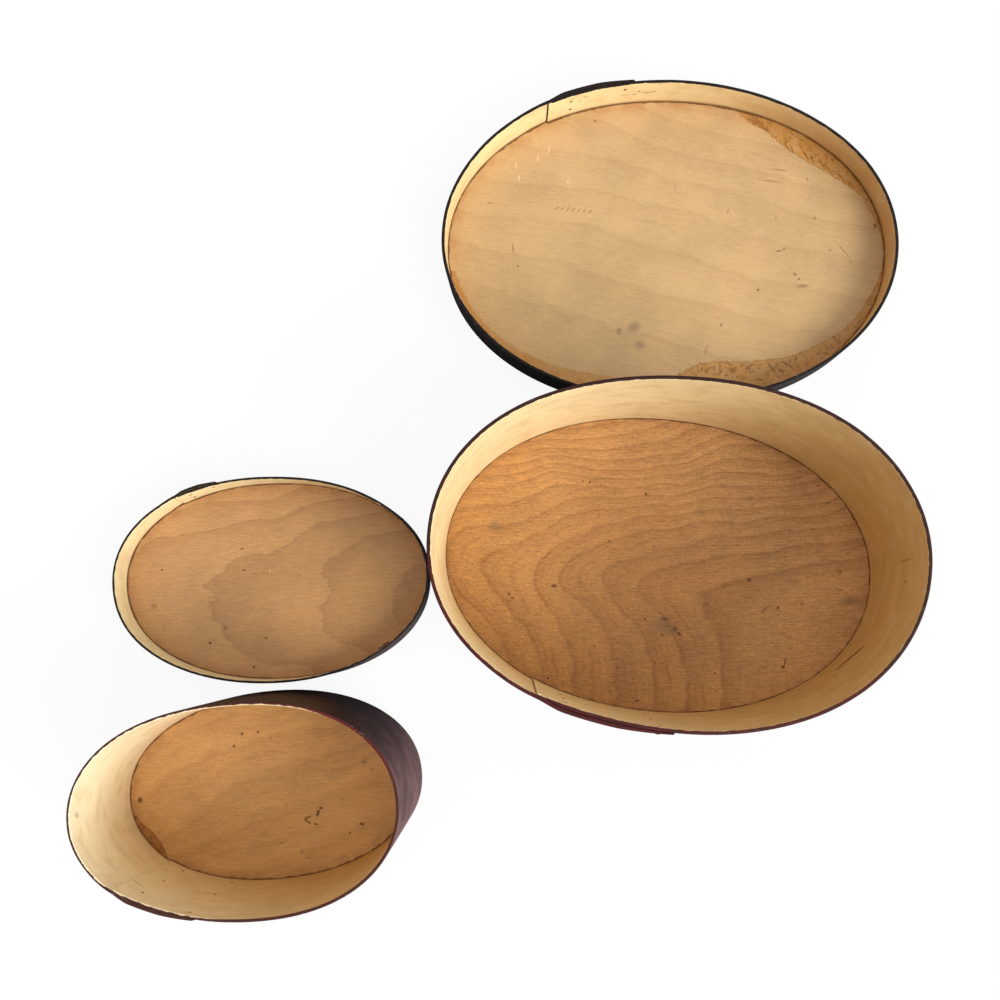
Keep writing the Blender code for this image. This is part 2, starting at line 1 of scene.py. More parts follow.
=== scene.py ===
"""Looks of two oval bentwood boxes of the Shaker kind, which stand open beside their upturned lids.

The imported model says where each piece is. Every band, board, tack and peg is made again here as a
fine surface at the same place and size: bands with eased edges and swallowtails, boards with their
growth lines, hammered tack heads and whittled pegs. Then each gets its finish: pale bent maple
inside, old dark paint outside, and bare boards with glue stains, pits and scratches.

Units are metres and +Z is up. A pair of numbers called a pixel is a place in the photograph, which
is 1000 pixels wide and high.
"""
from __future__ import annotations

import logging
import math
from dataclasses import dataclass, field
from enum import Enum
from functools import cached_property

import bpy
import numpy as np
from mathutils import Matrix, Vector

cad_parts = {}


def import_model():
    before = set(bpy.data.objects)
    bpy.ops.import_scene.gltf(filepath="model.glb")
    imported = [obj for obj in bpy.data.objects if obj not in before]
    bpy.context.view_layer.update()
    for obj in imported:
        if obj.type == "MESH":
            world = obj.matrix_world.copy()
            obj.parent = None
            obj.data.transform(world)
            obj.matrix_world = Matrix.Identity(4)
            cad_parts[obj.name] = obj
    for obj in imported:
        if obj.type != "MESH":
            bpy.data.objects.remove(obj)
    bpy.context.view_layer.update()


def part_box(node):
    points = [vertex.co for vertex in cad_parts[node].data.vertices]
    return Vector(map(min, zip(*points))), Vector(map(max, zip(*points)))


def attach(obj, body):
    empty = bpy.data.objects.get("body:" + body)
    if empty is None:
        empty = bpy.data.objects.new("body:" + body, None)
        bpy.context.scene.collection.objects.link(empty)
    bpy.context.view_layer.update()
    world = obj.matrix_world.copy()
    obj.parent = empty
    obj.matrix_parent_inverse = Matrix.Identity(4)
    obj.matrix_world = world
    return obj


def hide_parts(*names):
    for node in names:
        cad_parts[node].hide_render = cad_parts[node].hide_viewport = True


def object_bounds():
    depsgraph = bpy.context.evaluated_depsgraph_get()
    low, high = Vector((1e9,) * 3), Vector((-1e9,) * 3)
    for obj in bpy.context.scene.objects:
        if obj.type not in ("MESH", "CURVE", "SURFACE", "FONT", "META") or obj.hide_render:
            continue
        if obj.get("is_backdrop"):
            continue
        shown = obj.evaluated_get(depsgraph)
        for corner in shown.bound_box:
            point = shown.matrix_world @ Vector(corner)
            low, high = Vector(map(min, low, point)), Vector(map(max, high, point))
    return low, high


LOG = logging.getLogger("shaker_oval_boxes")
MM = 0.001
FULL_TURN = 2 * math.pi
WHITE = (1.0, 1.0, 1.0, 1.0)

Pixel = tuple[float, float]
Colour = tuple[float, float, float, float]
Value = "float | tuple | bpy.types.NodeSocket"
Mesh = tuple[np.ndarray, list[np.ndarray]]
DressedMesh = tuple[np.ndarray, list[np.ndarray], dict[str, np.ndarray]]


def srgb(red: int, green: int, blue: int) -> Colour:
    """Turns a colour as a screen shows it, 0 to 255, into the linear values that shaders take.

    Args:
        red: red, 0 to 255.
        green: green, 0 to 255.
        blue: blue, 0 to 255.

    Returns:
        Linear red, green and blue, and an alpha of 1.
    """
    shares = np.array([red, green, blue]) / 255
    linear = np.where(shares <= 0.04045, shares / 12.92, ((shares + 0.055) / 1.055) ** 2.4)
    return (*(float(value) for value in linear), 1.0)


def smooth(share: np.ndarray | float) -> np.ndarray:
    """Zero below 0, one above 1, and the ease 3 s^2 - 2 s^3 between them."""
    share = np.clip(share, 0.0, 1.0)
    return share * share * (3 - 2 * share)


def closed_curve(values: tuple[float, ...], angle: np.ndarray | float) -> np.ndarray:
    """The smoothest closed curve through values at even steps of a turn: a sum of whole waves.

    Args:
        values: the values, the first at angle 0.
        angle: angles in radians.

    Returns:
        The curve's value at each angle.
    """
    waves = np.fft.rfft(values) / len(values)
    orders = np.arange(len(waves))
    weights = np.where((orders == 0) | (orders == len(values) / 2), 1.0, 2.0)
    turns = np.exp(1j * np.multiply.outer(np.asarray(angle), orders))
    return (turns * (waves * weights)).real.sum(axis=-1)


def thin_plate(knots: np.ndarray, values: np.ndarray, points: np.ndarray) -> np.ndarray:
    """The smoothest sheet that has given values at given places, like a bent thin plate.

    Its height is a plane plus, for each knot, a weight times r^2 log r of the distance to it. A
    little slack keeps it smooth where knots lie close together.

    Args:
        knots: places with known values, one row each.
        values: the value at each knot.
        points: places where the sheet's height is wanted.

    Returns:
        The sheet's height at each point.
    """
    slack, nearest = 1e-5, 1e-12
    scale = np.ptp(knots, axis=0).max()
    middle = knots.mean(axis=0)
    knots = (knots - middle) / scale
    points = (points - middle) / scale

    def bending(places: np.ndarray) -> np.ndarray:
        """How each knot bends the sheet at some places: r^2 log r of the distance r."""
        squares = ((places[:, None, :] - knots[None, :, :]) ** 2).sum(axis=-1)
        return squares * np.log(squares + nearest) / 2

    plane = np.hstack([np.ones((len(knots), 1)), knots])
    stiff = bending(knots) + slack * np.eye(len(knots))
    system = np.block([[stiff, plane], [plane.T, np.zeros((3, 3))]])
    weights = np.linalg.solve(system, np.concatenate([values, np.zeros(3)]))
    flat = np.hstack([np.ones((len(points), 1)), points])
    return bending(points) @ weights[:-3] + flat @ weights[-3:]


@dataclass(frozen=True)
class PhotoCamera:
    """The camera that took the photograph, and the way between its pixels and the model.

    It was found by fitting the rims, floors and feet of all four pieces at once. Its place is
    given from the middle of the large box's foot.
    """
    middle: tuple[float, float]
    offset: tuple[float, float, float] = (-68.98 * MM, -33.70 * MM, 619.07 * MM)
    tilt: tuple[float, float] = (0.97947, 1.20085)
    focal_pixels: float = 1100.0
    centre_pixel: Pixel = (509.9, 606.8)
    frame_pixels: float = 1000.0
    sensor_mm: float = 36.0

    @property
    def place(self) -> np.ndarray:
        """Where the camera is, in the model."""
        return np.array([*self.middle, 0.0]) + np.array(self.offset)

    @cached_property
    def turn(self) -> np.ndarray:
        """The camera's turn as a matrix: first about X, then about Y.

        Returns:
            A matrix of 3 by 3.
        """
        x, y = np.radians(self.tilt)
        about_x = np.array([[1, 0, 0], [0, math.cos(x), -math.sin(x)], [0, math.sin(x), math.cos(x)]])
        about_y = np.array([[math.cos(y), 0, math.sin(y)], [0, 1, 0], [-math.sin(y), 0, math.cos(y)]])
        return about_y @ about_x

    def to_pixels(self, points: np.ndarray) -> np.ndarray:
        """Where points of the model lie in the photograph.

        Args:
            points: places in the model, one row each.

        Returns:
            Their pixels, one row each.
        """
        seen = (points - self.place) @ self.turn
        across = self.centre_pixel[0] + self.focal_pixels * seen[:, 0] / -seen[:, 2]
        down = self.centre_pixel[1] - self.focal_pixels * seen[:, 1] / -seen[:, 2]
        return np.stack([across, down], axis=-1)

    def to_level(self, pixels: np.ndarray | tuple[Pixel, ...], height: float) -> np.ndarray:
        """Where the lines of sight of some pixels meet a level plane.

        Args:
            pixels: pixels, one row each.
            height: the plane's height.

        Returns:
            X and Y in the model, one row each.
        """
        pixels = np.asarray(pixels, float)
        across = (pixels[:, 0] - self.centre_pixel[0]) / self.focal_pixels
        down = (pixels[:, 1] - self.centre_pixel[1]) / self.focal_pixels
        sight = np.stack([across, -down, -np.ones_like(across)], axis=-1) @ self.turn.T
        reach = (height - self.place[2]) / sight[:, 2]
        return self.place[:2] + reach[:, None] * sight[:, :2]

    def add(self) -> bpy.types.Object:
        """Makes the camera object and sets it as the scene's camera."""
        data = bpy.data.cameras.new("photo_camera")
        data.lens = self.focal_pixels / self.frame_pixels * self.sensor_mm
        data.sensor_width = self.sensor_mm
        data.shift_x = 0.5 - self.centre_pixel[0] / self.frame_pixels
        data.shift_y = self.centre_pixel[1] / self.frame_pixels - 0.5
        camera = bpy.data.objects.new("photo_camera", data)
        camera.location = self.place
        camera.rotation_euler = (math.radians(self.tilt[0]), math.radians(self.tilt[1]), 0.0)
        bpy.context.scene.collection.objects.link(camera)
        bpy.context.scene.camera = camera
        return camera


class Recipe:
    """Makes one material. Each method adds a node and returns the socket that it gives."""

    def __init__(self, name: str) -> None:
        """Starts a material with its Principled shader."""
        self.material = bpy.data.materials.new(name)
        self.material.use_nodes = True
        self.nodes = self.material.node_tree.nodes
        self.links = self.material.node_tree.links
        self.shader = self.nodes["Principled BSDF"]

    def feed(self, socket: bpy.types.NodeSocket, value: Value) -> None:
        """Gives a socket a plain value, or links another socket to it.

        Args:
            socket: the input.
            value: a number, a colour or vector, or an output of another node.
        """
        if isinstance(value, bpy.types.NodeSocket):
            self.links.new(value, socket)
        else:
            socket.default_value = value

    def add(self, kind: str, values: dict, **settings: str) -> bpy.types.Node:
        """Adds a node.

        Args:
            kind: the node's type.
            values: what its inputs get, by name or number.
            settings: its own settings.

        Returns:
            The node.
        """
        node = self.nodes.new(kind)
        for key, setting in settings.items():
            setattr(node, key, setting)
        for key, value in values.items():
            self.feed(node.inputs[key], value)
        return node

    def place(self) -> bpy.types.NodeSocket:
        """The place on the piece, in metres."""
        return self.add("ShaderNodeTexCoord", {}).outputs["Object"]

    def attribute(self, name: str) -> bpy.types.NodeSocket:
        """A vector that the piece's surface carries."""
        node = self.add("ShaderNodeAttribute", {}, attribute_type='GEOMETRY', attribute_name=name)
        return node.outputs["Vector"]

    def parts(self, vector: Value) -> list[bpy.types.NodeSocket]:
        """The three numbers of a vector."""
        return list(self.add("ShaderNodeSeparateXYZ", {0: vector}).outputs)

    def mapped(self, vector: Value, place: tuple, turn: float, scale: tuple) -> bpy.types.NodeSocket:
        """A vector less a place, turned back by degrees about Z and divided by a scale.

        Args:
            vector: the vector.
            place: what is taken off it.
            turn: the angle, in degrees.
            scale: what each of its numbers is divided by.

        Returns:
            The mapped vector.
        """
        values = {"Vector": vector, "Location": place, "Rotation": (0.0, 0.0, math.radians(turn)),
                  "Scale": scale}
        return self.add("ShaderNodeMapping", values, vector_type='TEXTURE').outputs[0]

    def towards(self, place: Place, turn: float, reach: float) -> bpy.types.NodeSocket:
        """How far a place lies to one side of a piece's middle: 1 at the reach, below 0 behind it.

        Args:
            place: where the piece stands.
            turn: the side's direction, in degrees.
            reach: the distance that counts as 1.

        Returns:
            The share.
        """
        return self.parts(self.mapped(self.place(), (place.x, place.y, 0.0), turn, (reach, reach, 1.0)))[0]

    def math(self, operation: str, first: Value, second: Value = 0.0) -> bpy.types.NodeSocket:
        """One step of arithmetic."""
        return self.add("ShaderNodeMath", {0: first, 1: second}, operation=operation).outputs[0]

    def times(self, first: Value, second: Value) -> bpy.types.NodeSocket:
        """A product."""
        return self.math('MULTIPLY', first, second)

    def plus(self, first: Value, second: Value) -> bpy.types.NodeSocket:
        """A sum."""
        return self.math('ADD', first, second)

    def minus(self, first: Value, second: Value) -> bpy.types.NodeSocket:
        """A difference."""
        return self.math('SUBTRACT', first, second)

    def greater(self, first: Value, second: Value) -> bpy.types.NodeSocket:
        """The greater of two numbers."""
        return self.math('MAXIMUM', first, second)

    def vector(self, operation: str, first: Value, second: Value) -> bpy.types.NodeSocket:
        """One step of arithmetic on vectors."""
        return self.add("ShaderNodeVectorMath", {0: first, 1: second}, operation=operation).outputs[0]

    def length(self, vector: Value) -> bpy.types.NodeSocket:
        """A vector's length."""
        return self.add("ShaderNodeVectorMath", {0: vector}, operation='LENGTH').outputs["Value"]

    def ease(self, value: Value, start: float, end: float, low: float = 0.0,
             high: float = 1.0) -> bpy.types.NodeSocket:
        """An eased step from low at start to high at end, where start may lie past end."""
        values = {"Value": value, "From Min": start, "From Max": end, "To Min": low, "To Max": high}
        return self.add("ShaderNodeMapRange", values, interpolation_type='SMOOTHSTEP').outputs[0]

    def noise(self, vector: Value, scale: float, detail: float = 2.0,
              rough: float = 0.5) -> bpy.types.NodeSocket:
        """Soft noise, mostly from 0.3 to 0.7, with features about one over scale apart."""
        values = {"Vector": vector, "Scale": scale, "Detail": detail, "Roughness": rough}
        return self.add("ShaderNodeTexNoise", values).outputs[0]

    def stretched(self, vector: Value, scales: tuple[float, float, float], detail: float = 2.0,
                  rough: float = 0.5) -> bpy.types.NodeSocket:
        """Noise with its own scale along each axis."""
        return self.noise(self.vector('MULTIPLY', vector, scales), 1.0, detail, rough)

    def elsewhere(self, vector: Value, shift: tuple[float, float, float], scale: float, detail: float = 2.0,
                  rough: float = 0.5) -> bpy.types.NodeSocket:
        """Noise read at a shifted place, so that it doesn't repeat another of the same kind."""
        return self.noise(self.vector('ADD', vector, shift), scale, detail, rough)

    def warped(self, vector: Value, scale: float, reach: float) -> bpy.types.NodeSocket:
        """A place moved to and fro in X and Y by soft noise, by up to about half the reach.

        Args:
            vector: the place.
            scale: the noise's scale.
            reach: the full swing.

        Returns:
            The moved place.
        """
        values = {"Vector": vector, "Scale": scale, "Detail": 2.0, "Roughness": 0.6}
        sway = self.add("ShaderNodeTexNoise", values).outputs["Color"]
        swing = self.vector('SUBTRACT', sway, (0.5, 0.5, 0.5))
        return self.vector('ADD', vector, self.vector('MULTIPLY', swing, (reach, reach, 0.0)))

    def mix(self, share: Value, first: Value, second: Value, blend: str = 'MIX') -> bpy.types.NodeSocket:
        """Two colours mixed: the first at share 0 and the second, or its blend, at share 1."""
        values = {0: share, 6: first, 7: second}
        return self.add("ShaderNodeMix", values, data_type='RGBA', blend_type=blend).outputs[2]

    def between(self, share: Value, first: Value, second: Value) -> bpy.types.NodeSocket:
        """A number between two others."""
        return self.add("ShaderNodeMix", {0: share, 2: first, 3: second}, data_type='FLOAT').outputs[0]

    def shade(self, colour: Value, amount: Value) -> bpy.types.NodeSocket:
        """A colour times a number."""
        grey = self.add("ShaderNodeCombineXYZ", {0: amount, 1: amount, 2: amount}).outputs[0]
        return self.vector('MULTIPLY', colour, grey)

    def finish(self, colour: Value, rough: Value, relief: Value, depth: float,
               specular: float = 0.5) -> bpy.types.Material:
        """Feeds the shader.

        Args:
            colour: base colour.
            rough: roughness.
            relief: height of the small relief, 0 to 1.
            depth: how deep that relief is, in metres.
            specular: the shader's specular level.

        Returns:
            The material.
        """
        bump = self.add("ShaderNodeBump", {"Height": relief, "Distance": depth, "Strength": 1.0})
        self.shader.inputs["Specular IOR Level"].default_value = specular
        self.feed(self.shader.inputs["Base Color"], colour)
        self.feed(self.shader.inputs["Roughness"], rough)
        self.feed(self.shader.inputs["Normal"], bump.outputs[0])
        return self.material


class MarkKind(Enum):
    """What a small mark is: its colour, how strong it is and how soft its outline is."""
    PIT = (srgb(104, 56, 8), 0.95, 0.5)
    OLIVE = (srgb(118, 78, 24), 0.85, 0.7)
    FAINT = (srgb(128, 80, 36), 0.6, 1.0)
    SMUDGE = (srgb(112, 92, 66), 0.5, 1.0)
    PALE = (srgb(244, 214, 166), 0.6, 0.8)
    STREAK = (srgb(138, 84, 24), 0.75, 0.9)
    PAINT = (srgb(72, 24, 20), 0.95, 0.3)

    def __init__(self, colour: Colour, strength: float, softness: float) -> None:
        """Keeps the kind's values under their names.

        Args:
            colour: the mark's colour.
            strength: how much of it covers the wood.
            softness: how far its outline fades, as a share of its size.
        """
        self.colour = colour
        self.strength = strength
        self.softness = softness


@dataclass(frozen=True)
class Mark:
    """A small mark on the wood: the pixel where it lies, its length, width and turn."""
    kind: MarkKind
    pixel: Pixel
    long: float
    wide: float
    turn: float = 0.0


def marks_from(table: dict[MarkKind, tuple[tuple[float, ...], ...]]) -> tuple[Mark, ...]:
    """Makes the marks of a piece.

    Args:
        table: for each kind, rows of pixel x, pixel y, length and width in mm, and where the mark
            is turned, its turn in degrees.

    Returns:
        The marks.
    """
    return tuple(Mark(kind, (x, y), long * MM, wide * MM, *turn)
                 for kind, rows in table.items() for x, y, long, wide, *turn in rows)


@dataclass(frozen=True)
class Place:
    """Where a box or lid stands: the middle of its oval, and its turn in degrees."""
    x: float
    y: float
    heading: float

    def put(self, points: np.ndarray) -> np.ndarray:
        """Takes points from the piece's own axes to the model's.

        Args:
            points: x, y and z of each.

        Returns:
            The points in the model's axes.
        """
        turn = math.radians(self.heading)
        out = np.array(points, float)
        out[..., 0] = self.x + points[..., 0] * math.cos(turn) - points[..., 1] * math.sin(turn)
        out[..., 1] = self.y + points[..., 0] * math.sin(turn) + points[..., 1] * math.cos(turn)
        return out

    def take(self, points: np.ndarray) -> np.ndarray:
        """Takes points from the model's axes to the piece's own.

        Args:
            points: x, y and z of each.

        Returns:
            The points in the piece's axes.
        """
        turn = math.radians(self.heading)
        x = points[..., 0] - self.x
        y = points[..., 1] - self.y
        out = np.array(points, float)
        out[..., 0] = x * math.cos(turn) + y * math.sin(turn)
        out[..., 1] = -x * math.sin(turn) + y * math.cos(turn)
        return out


def grid_faces(numbers: np.ndarray) -> np.ndarray:
    """Quads between the neighbours in a grid of vertex numbers, first along it, then across."""
    corners = [numbers[:-1, :-1], numbers[1:, :-1], numbers[1:, 1:], numbers[:-1, 1:]]
    return np.stack(corners, axis=-1).reshape(-1, 4)


def ring_faces(upper: np.ndarray, lower: np.ndarray) -> np.ndarray:
    """Quads between two closed loops of vertex numbers."""
    return np.stack([upper, lower, np.roll(lower, -1), np.roll(upper, -1)], axis=-1)


def make_piece(name: str, points: np.ndarray, faces: list[np.ndarray], material: bpy.types.Material,
               carried: dict[str, np.ndarray] | None = None) -> bpy.types.Object:
    """Makes a smooth mesh object at the origin from whole arrays.

    Args:
        name: the object's name.
        points: its vertices, one row each.
        faces: arrays of faces, each of one number of corners.
        material: its finish.
        carried: vectors for the surface to carry, by name, one row for each vertex.

    Returns:
        The object.
    """
    mesh = bpy.data.meshes.new(name)
    corners = np.concatenate([part.ravel() for part in faces]).astype(np.int32)
    sizes = np.concatenate([np.full(len(part), part.shape[1], np.int32) for part in faces])
    starts = np.concatenate([[0], np.cumsum(sizes)[:-1]]).astype(np.int32)
    mesh.vertices.add(len(points))
    mesh.vertices.foreach_set("co", points.astype(np.float32).ravel())
    mesh.loops.add(len(corners))
    mesh.loops.foreach_set("vertex_index", corners)
    mesh.polygons.add(len(sizes))
    mesh.polygons.foreach_set("loop_start", starts)
    mesh.update(calc_edges=True)
    mesh.validate()
    mesh.shade_smooth()
    for key, values in (carried or {}).items():
        layer = mesh.attributes.new(key, 'FLOAT_VECTOR', 'POINT')
        layer.data.foreach_set("vector", values.astype(np.float32).ravel())
    mesh.materials.append(material)
    piece = bpy.data.objects.new(name, mesh)
    bpy.context.scene.collection.objects.link(piece)
    return piece


@dataclass(frozen=True)
class SprungOval:
    """The outer face of a band: a full oval at its foot, sprung a little out of true at its rim."""
    half_length: float
    half_width: float
    fullness: float
    height: float
    lengthened: float
    widened: float
    twist: float
    egg: float
    stray: tuple[float, ...]

    def points(self, angle: np.ndarray, height: np.ndarray) -> np.ndarray:
        """Places on the face.

        The oval is the superellipse |x/a|^n + |y/b|^n = 1, where a and b change evenly with
        height. It is wider at one end by the egg, the rim strays in or out by the values of
        stray, in mm at even steps of the angle, and it is turned by the twist.

        Args:
            angle: angles in radians.
            height: heights above the foot.

        Returns:
            X and Y, in the piece's own axes.
        """
        rise = np.asarray(height) / self.height
        length = self.half_length + rise * self.lengthened / 2
        width = self.half_width + rise * self.widened / 2
        cos, sin = np.cos(angle), np.sin(angle)
        reach = (np.abs(cos) ** self.fullness + np.abs(sin) ** self.fullness) ** (-1 / self.fullness)
        x = length * cos * reach
        y = width * sin * reach * (1 + self.egg * rise * x / length)
        stray = 1 + rise * closed_curve(self.stray, angle) * MM / np.hypot(x, y)
        x, y = x * stray, y * stray
        turn = np.radians(self.twist) * rise
        return np.stack([x * np.cos(turn) - y * np.sin(turn), x * np.sin(turn) + y * np.cos(turn)], axis=-1)

    def outward(self, angle: np.ndarray, height: np.ndarray) -> np.ndarray:
        """Level unit vectors that point out of the face, square to its run.

        Args:
            angle: the oval's angles.
            height: heights on the wall.

        Returns:
            The vectors, with a height of 0.
        """
        step = math.radians(0.5)
        along = self.points(angle + step, height) - self.points(angle - step, height)
        along /= np.linalg.norm(along, axis=-1, keepdims=True)
        return np.stack([along[..., 1], -along[..., 0]], axis=-1)


@dataclass(frozen=True)
class BentBand:
    """A thin maple band, bent round the oval and lapped over its own start with swallowtails.

    The strip is described flat: run is the distance along it, height is across it, and depth is
    from its inner face to its outer face. The seam is where it starts, in degrees of the oval,
    and sense is +1 where it runs anticlockwise from above.
    """
    oval: SprungOval
    band: float
    lap: float
    finger: float
    fingers: int
    seam: float
    sense: int
    painted_rim: float
    bare_fade: float = 6 * MM
    feather_edge: float = 0.5 * MM
    lap_slit: float = 0.2 * MM
    notch: float = 1.2 * MM
    edge_round: float = 0.32 * MM
    rim_wave: float = 0.1 * MM
    long_wave: float = 9.1 * MM
    short_wave: float = 3.7 * MM
    well_painted: float = 5 * MM
    start_edge: float = 1 * MM
    tip_round: float = 1.2 * MM
    column_step: float = 0.95 * MM
    feather_share: float = 0.22
    ramp_share: float = 0.45
    tip_taper_share: float = 0.4
    tip_thickness_share: float = 0.35
    finger_tip_share: float = 0.36
    finger_curve_power: float = 0.72
    finger_rows: int = 9
    round_steps: int = 3
    samples: int = 2880

    @cached_property
    def run_table(self) -> tuple[np.ndarray, np.ndarray]:
        """Even steps of angle over one turn, and the run at each.

        Returns:
            The steps and the runs.
        """
        steps = np.linspace(0.0, FULL_TURN, self.samples + 1)
        places = self.oval.points(math.radians(self.seam) + self.sense * steps, 0.0)
        runs = np.linalg.norm(np.diff(places, axis=0), axis=1).cumsum()
        return steps, np.concatenate([[0.0], runs])

    @property
    def girth(self) -> float:
        """The length of one turn."""
        return float(self.run_table[1][-1])

    @property
    def end(self) -> float:
        """The run at the tips of the fingers."""
        return self.girth + self.lap

    @property
    def pitch(self) -> float:
        """The height of the band that one finger takes."""
        return self.oval.height / self.fingers

    def angle_at(self, run: np.ndarray) -> np.ndarray:
        """The oval's angle at a run.

        Args:
            run: distances along the strip.

        Returns:
            Angles in radians.
        """
        steps, runs = self.run_table
        turns = np.floor(np.asarray(run) / runs[-1])
        return math.radians(self.seam) + self.sense * np.interp(run - turns * runs[-1], runs, steps)

    def thickness(self, run: np.ndarray) -> np.ndarray:
        """Thin where the band starts, full along its length, and thin again at its tips.

        Args:
            run: distances along the strip.

        Returns:
            The band's thickness at each.
        """
        start = smooth(run / (self.feather_share * self.lap))
        tip = np.clip((self.end - run) / (self.tip_taper_share * self.lap), 0.0, 1.0)
        thin = self.feather_edge + (self.band - self.feather_edge) * start
        return thin * (self.tip_thickness_share + (1 - self.tip_thickness_share) * tip)

    def inner_face(self, run: np.ndarray) -> np.ndarray:
        """How far the inner face lies outside the oval: it climbs over the start as the lap begins.

        Args:
            run: distances along the strip.

        Returns:
            Distances, below 0 inside the oval.
        """
        ramp = self.ramp_share * self.lap
        past = run - self.girth
        climb = (self.feather_edge + self.lap_slit) * smooth((past + ramp) / ramp)
        over = (self.band - self.feather_edge) * smooth(past / (self.feather_share * self.lap))
        return -self.band + climb + over

    def bend(self, run: np.ndarray, height: np.ndarray, depth: np.ndarray) -> np.ndarray:
        """Takes points of the flat strip to their place in the wall.

        The wall's top wanders up and down by a small wave with the run, as a planed edge does.

        Args:
            run: distances along the strip.
            height: heights across it.
            depth: distances from its inner face, in metres.

        Returns:
            Places in the piece's own axes.
        """
        angle = self.angle_at(run)
        offset = self.inner_face(run) + depth
        level = self.oval.points(angle, height) + self.oval.outward(angle, height) * offset[..., None]
        wave = 0.6 * np.sin(run / self.long_wave) + 0.4 * np.sin(run / self.short_wave + 1.0)
        rise = height + self.rim_wave * wave * (height / self.oval.height) ** 3
        return np.concatenate([level, rise[..., None]], axis=-1)

    @property
    def finger_tip(self) -> float:
        """The height of a finger's tip."""
        return self.finger_tip_share * self.pitch

    def finger_sides(self, number: int, share: np.ndarray) -> tuple[np.ndarray, np.ndarray]:
        """The heights of a finger's lower and upper side, from its root at share 0 to its tip at 1.

        Each side is its distance at the tip, plus the rest of that at the root times 1 - s^p.
        The top finger's upper side is the rim, so its lower side falls further, to the same tip.

        Args:
            number: the finger, from the lowest.
            share: shares of the finger's length.

        Returns:
            Heights of the lower and of the upper side.
        """
        middle = (number + 0.5) * self.pitch
        root = (self.pitch - self.notch) / 2
        top_finger = number == self.fingers - 1
        tip = self.finger_tip - self.pitch / 2 if top_finger else self.finger_tip / 2
        half = tip + (root - tip) * (1 - share ** self.finger_curve_power)
        upper = np.full_like(half, self.oval.height) if top_finger else middle + half
        return middle - half, upper

    def flat_sheet(self) -> tuple[np.ndarray, np.ndarray, np.ndarray, np.ndarray]:
        """The strip as a flat grid with its fingers.

        The body is a grid of runs by heights. Each finger goes on from its own rows of the last
        column: its height is a share of the way between its sides, and its tip bulges by the
        tip's rounding.

        Returns:
            Run and height of each vertex, its distance to the nearest edge, the faces, and the
            closed loop of vertices round the outline, anticlockwise.
        """
        top = self.oval.height
        root = self.end - self.finger
        across = np.sin(np.linspace(-1.0, 1.0, self.finger_rows) * math.pi / 2)
        roots = [self.finger_sides(number, np.zeros(1)) for number in range(self.fingers)]
        rows = np.concatenate([[0.0]] + [low + (high - low) * (across + 1) / 2 for low, high in roots])
        columns = np.linspace(0.0, root, round(root / self.column_step) + 1)
        body = np.arange(columns.size * rows.size).reshape(columns.size, rows.size)
        flat = [np.stack(np.meshgrid(columns, rows, indexing='ij'), axis=-1).reshape(-1, 2)]
        edge = [np.minimum(flat[0][:, 1], top - flat[0][:, 1])]
        faces = [grid_faces(body)]
        loop = [body[:, 0]]
        shares = np.linspace(0.0, 1.0, round(self.finger / self.column_step) + 1)[1:, None]
        bulge = self.tip_round * across ** 2 * smooth((shares - 0.8) / 0.2)
        runs = root + shares * self.finger - bulge
        count = body.size
        for number in range(self.fingers):
            first = 1 + number * self.finger_rows
            own = count + np.arange(runs.size).reshape(runs.shape)
            count += runs.size
            finger = np.vstack([body[-1, first:first + self.finger_rows], own])
            low, high = self.finger_sides(number, shares)
            flat.append(np.stack([runs, low + (high - low) * (across + 1) / 2], axis=-1).reshape(-1, 2))
            near_side = (1 - np.abs(across)) * (high - low) / 2
            edge.append(np.minimum(near_side, (1 - shares) * self.finger).ravel())
            faces.append(grid_faces(finger))
            loop += [finger[:, 0], finger[-1, 1:-1], finger[::-1, -1]]
        loop += [body[-2::-1, -1], body[0, -2:0:-1]]
        return np.concatenate(flat), np.concatenate(edge), np.concatenate(faces), np.concatenate(loop)

    def surface(self) -> DressedMesh:
        """The whole band as a closed surface with eased edges.

        Two sheets, the outer and the inner face, stop short of the outline by the edge's radius.
        Between them run closed loops: each lies at an angle t of a quarter circle, so it is inset
        by r (1 - sin t) and sunk by r (1 - cos t).

        Returns:
            Points in the piece's own axes, faces, and what the surface carries: "strip" with run,
            height and share of the depth, and "coat" with the distance past the paint's limit,
            the distance to the nearest edge and the distance below the rim.
        """
        flat, edge, faces, loop = self.flat_sheet()
        outline = flat[loop]
        ahead = np.roll(outline, -1, axis=0) - outline
        ahead /= np.linalg.norm(ahead, axis=1, keepdims=True)
        square = np.stack([ahead[:, 1], -ahead[:, 0]], axis=-1)
        normal = square + np.roll(square, 1, axis=0)
        normal /= np.linalg.norm(normal, axis=1, keepdims=True)
        normal /= np.maximum((normal * square).sum(axis=1, keepdims=True), 0.6)
        radius = np.minimum(self.edge_round, 0.45 * self.thickness(outline[:, 0]))
        sheet = flat.copy()
        sheet[loop] -= normal * radius[:, None]
        thick = self.thickness(sheet[:, 0])
        loop_thick = self.thickness(outline[:, 0])

        turns = np.arange(1, self.round_steps + 1) / self.round_steps * math.pi / 2
        down = [(turn, True) for turn in turns] + [(turn, False) for turn in turns[::-1]]
        places, depths, limits = [sheet, sheet], [thick, np.zeros(len(sheet))], []
        for turn, outer in down:
            places.append(outline - normal * (radius * (1 - math.sin(turn)))[:, None])
            sunk = radius * (1 - math.cos(turn))
            depths.append(loop_thick - sunk if outer else sunk)
            limits.append(radius * turn if not outer else loop_thick - radius * turn)

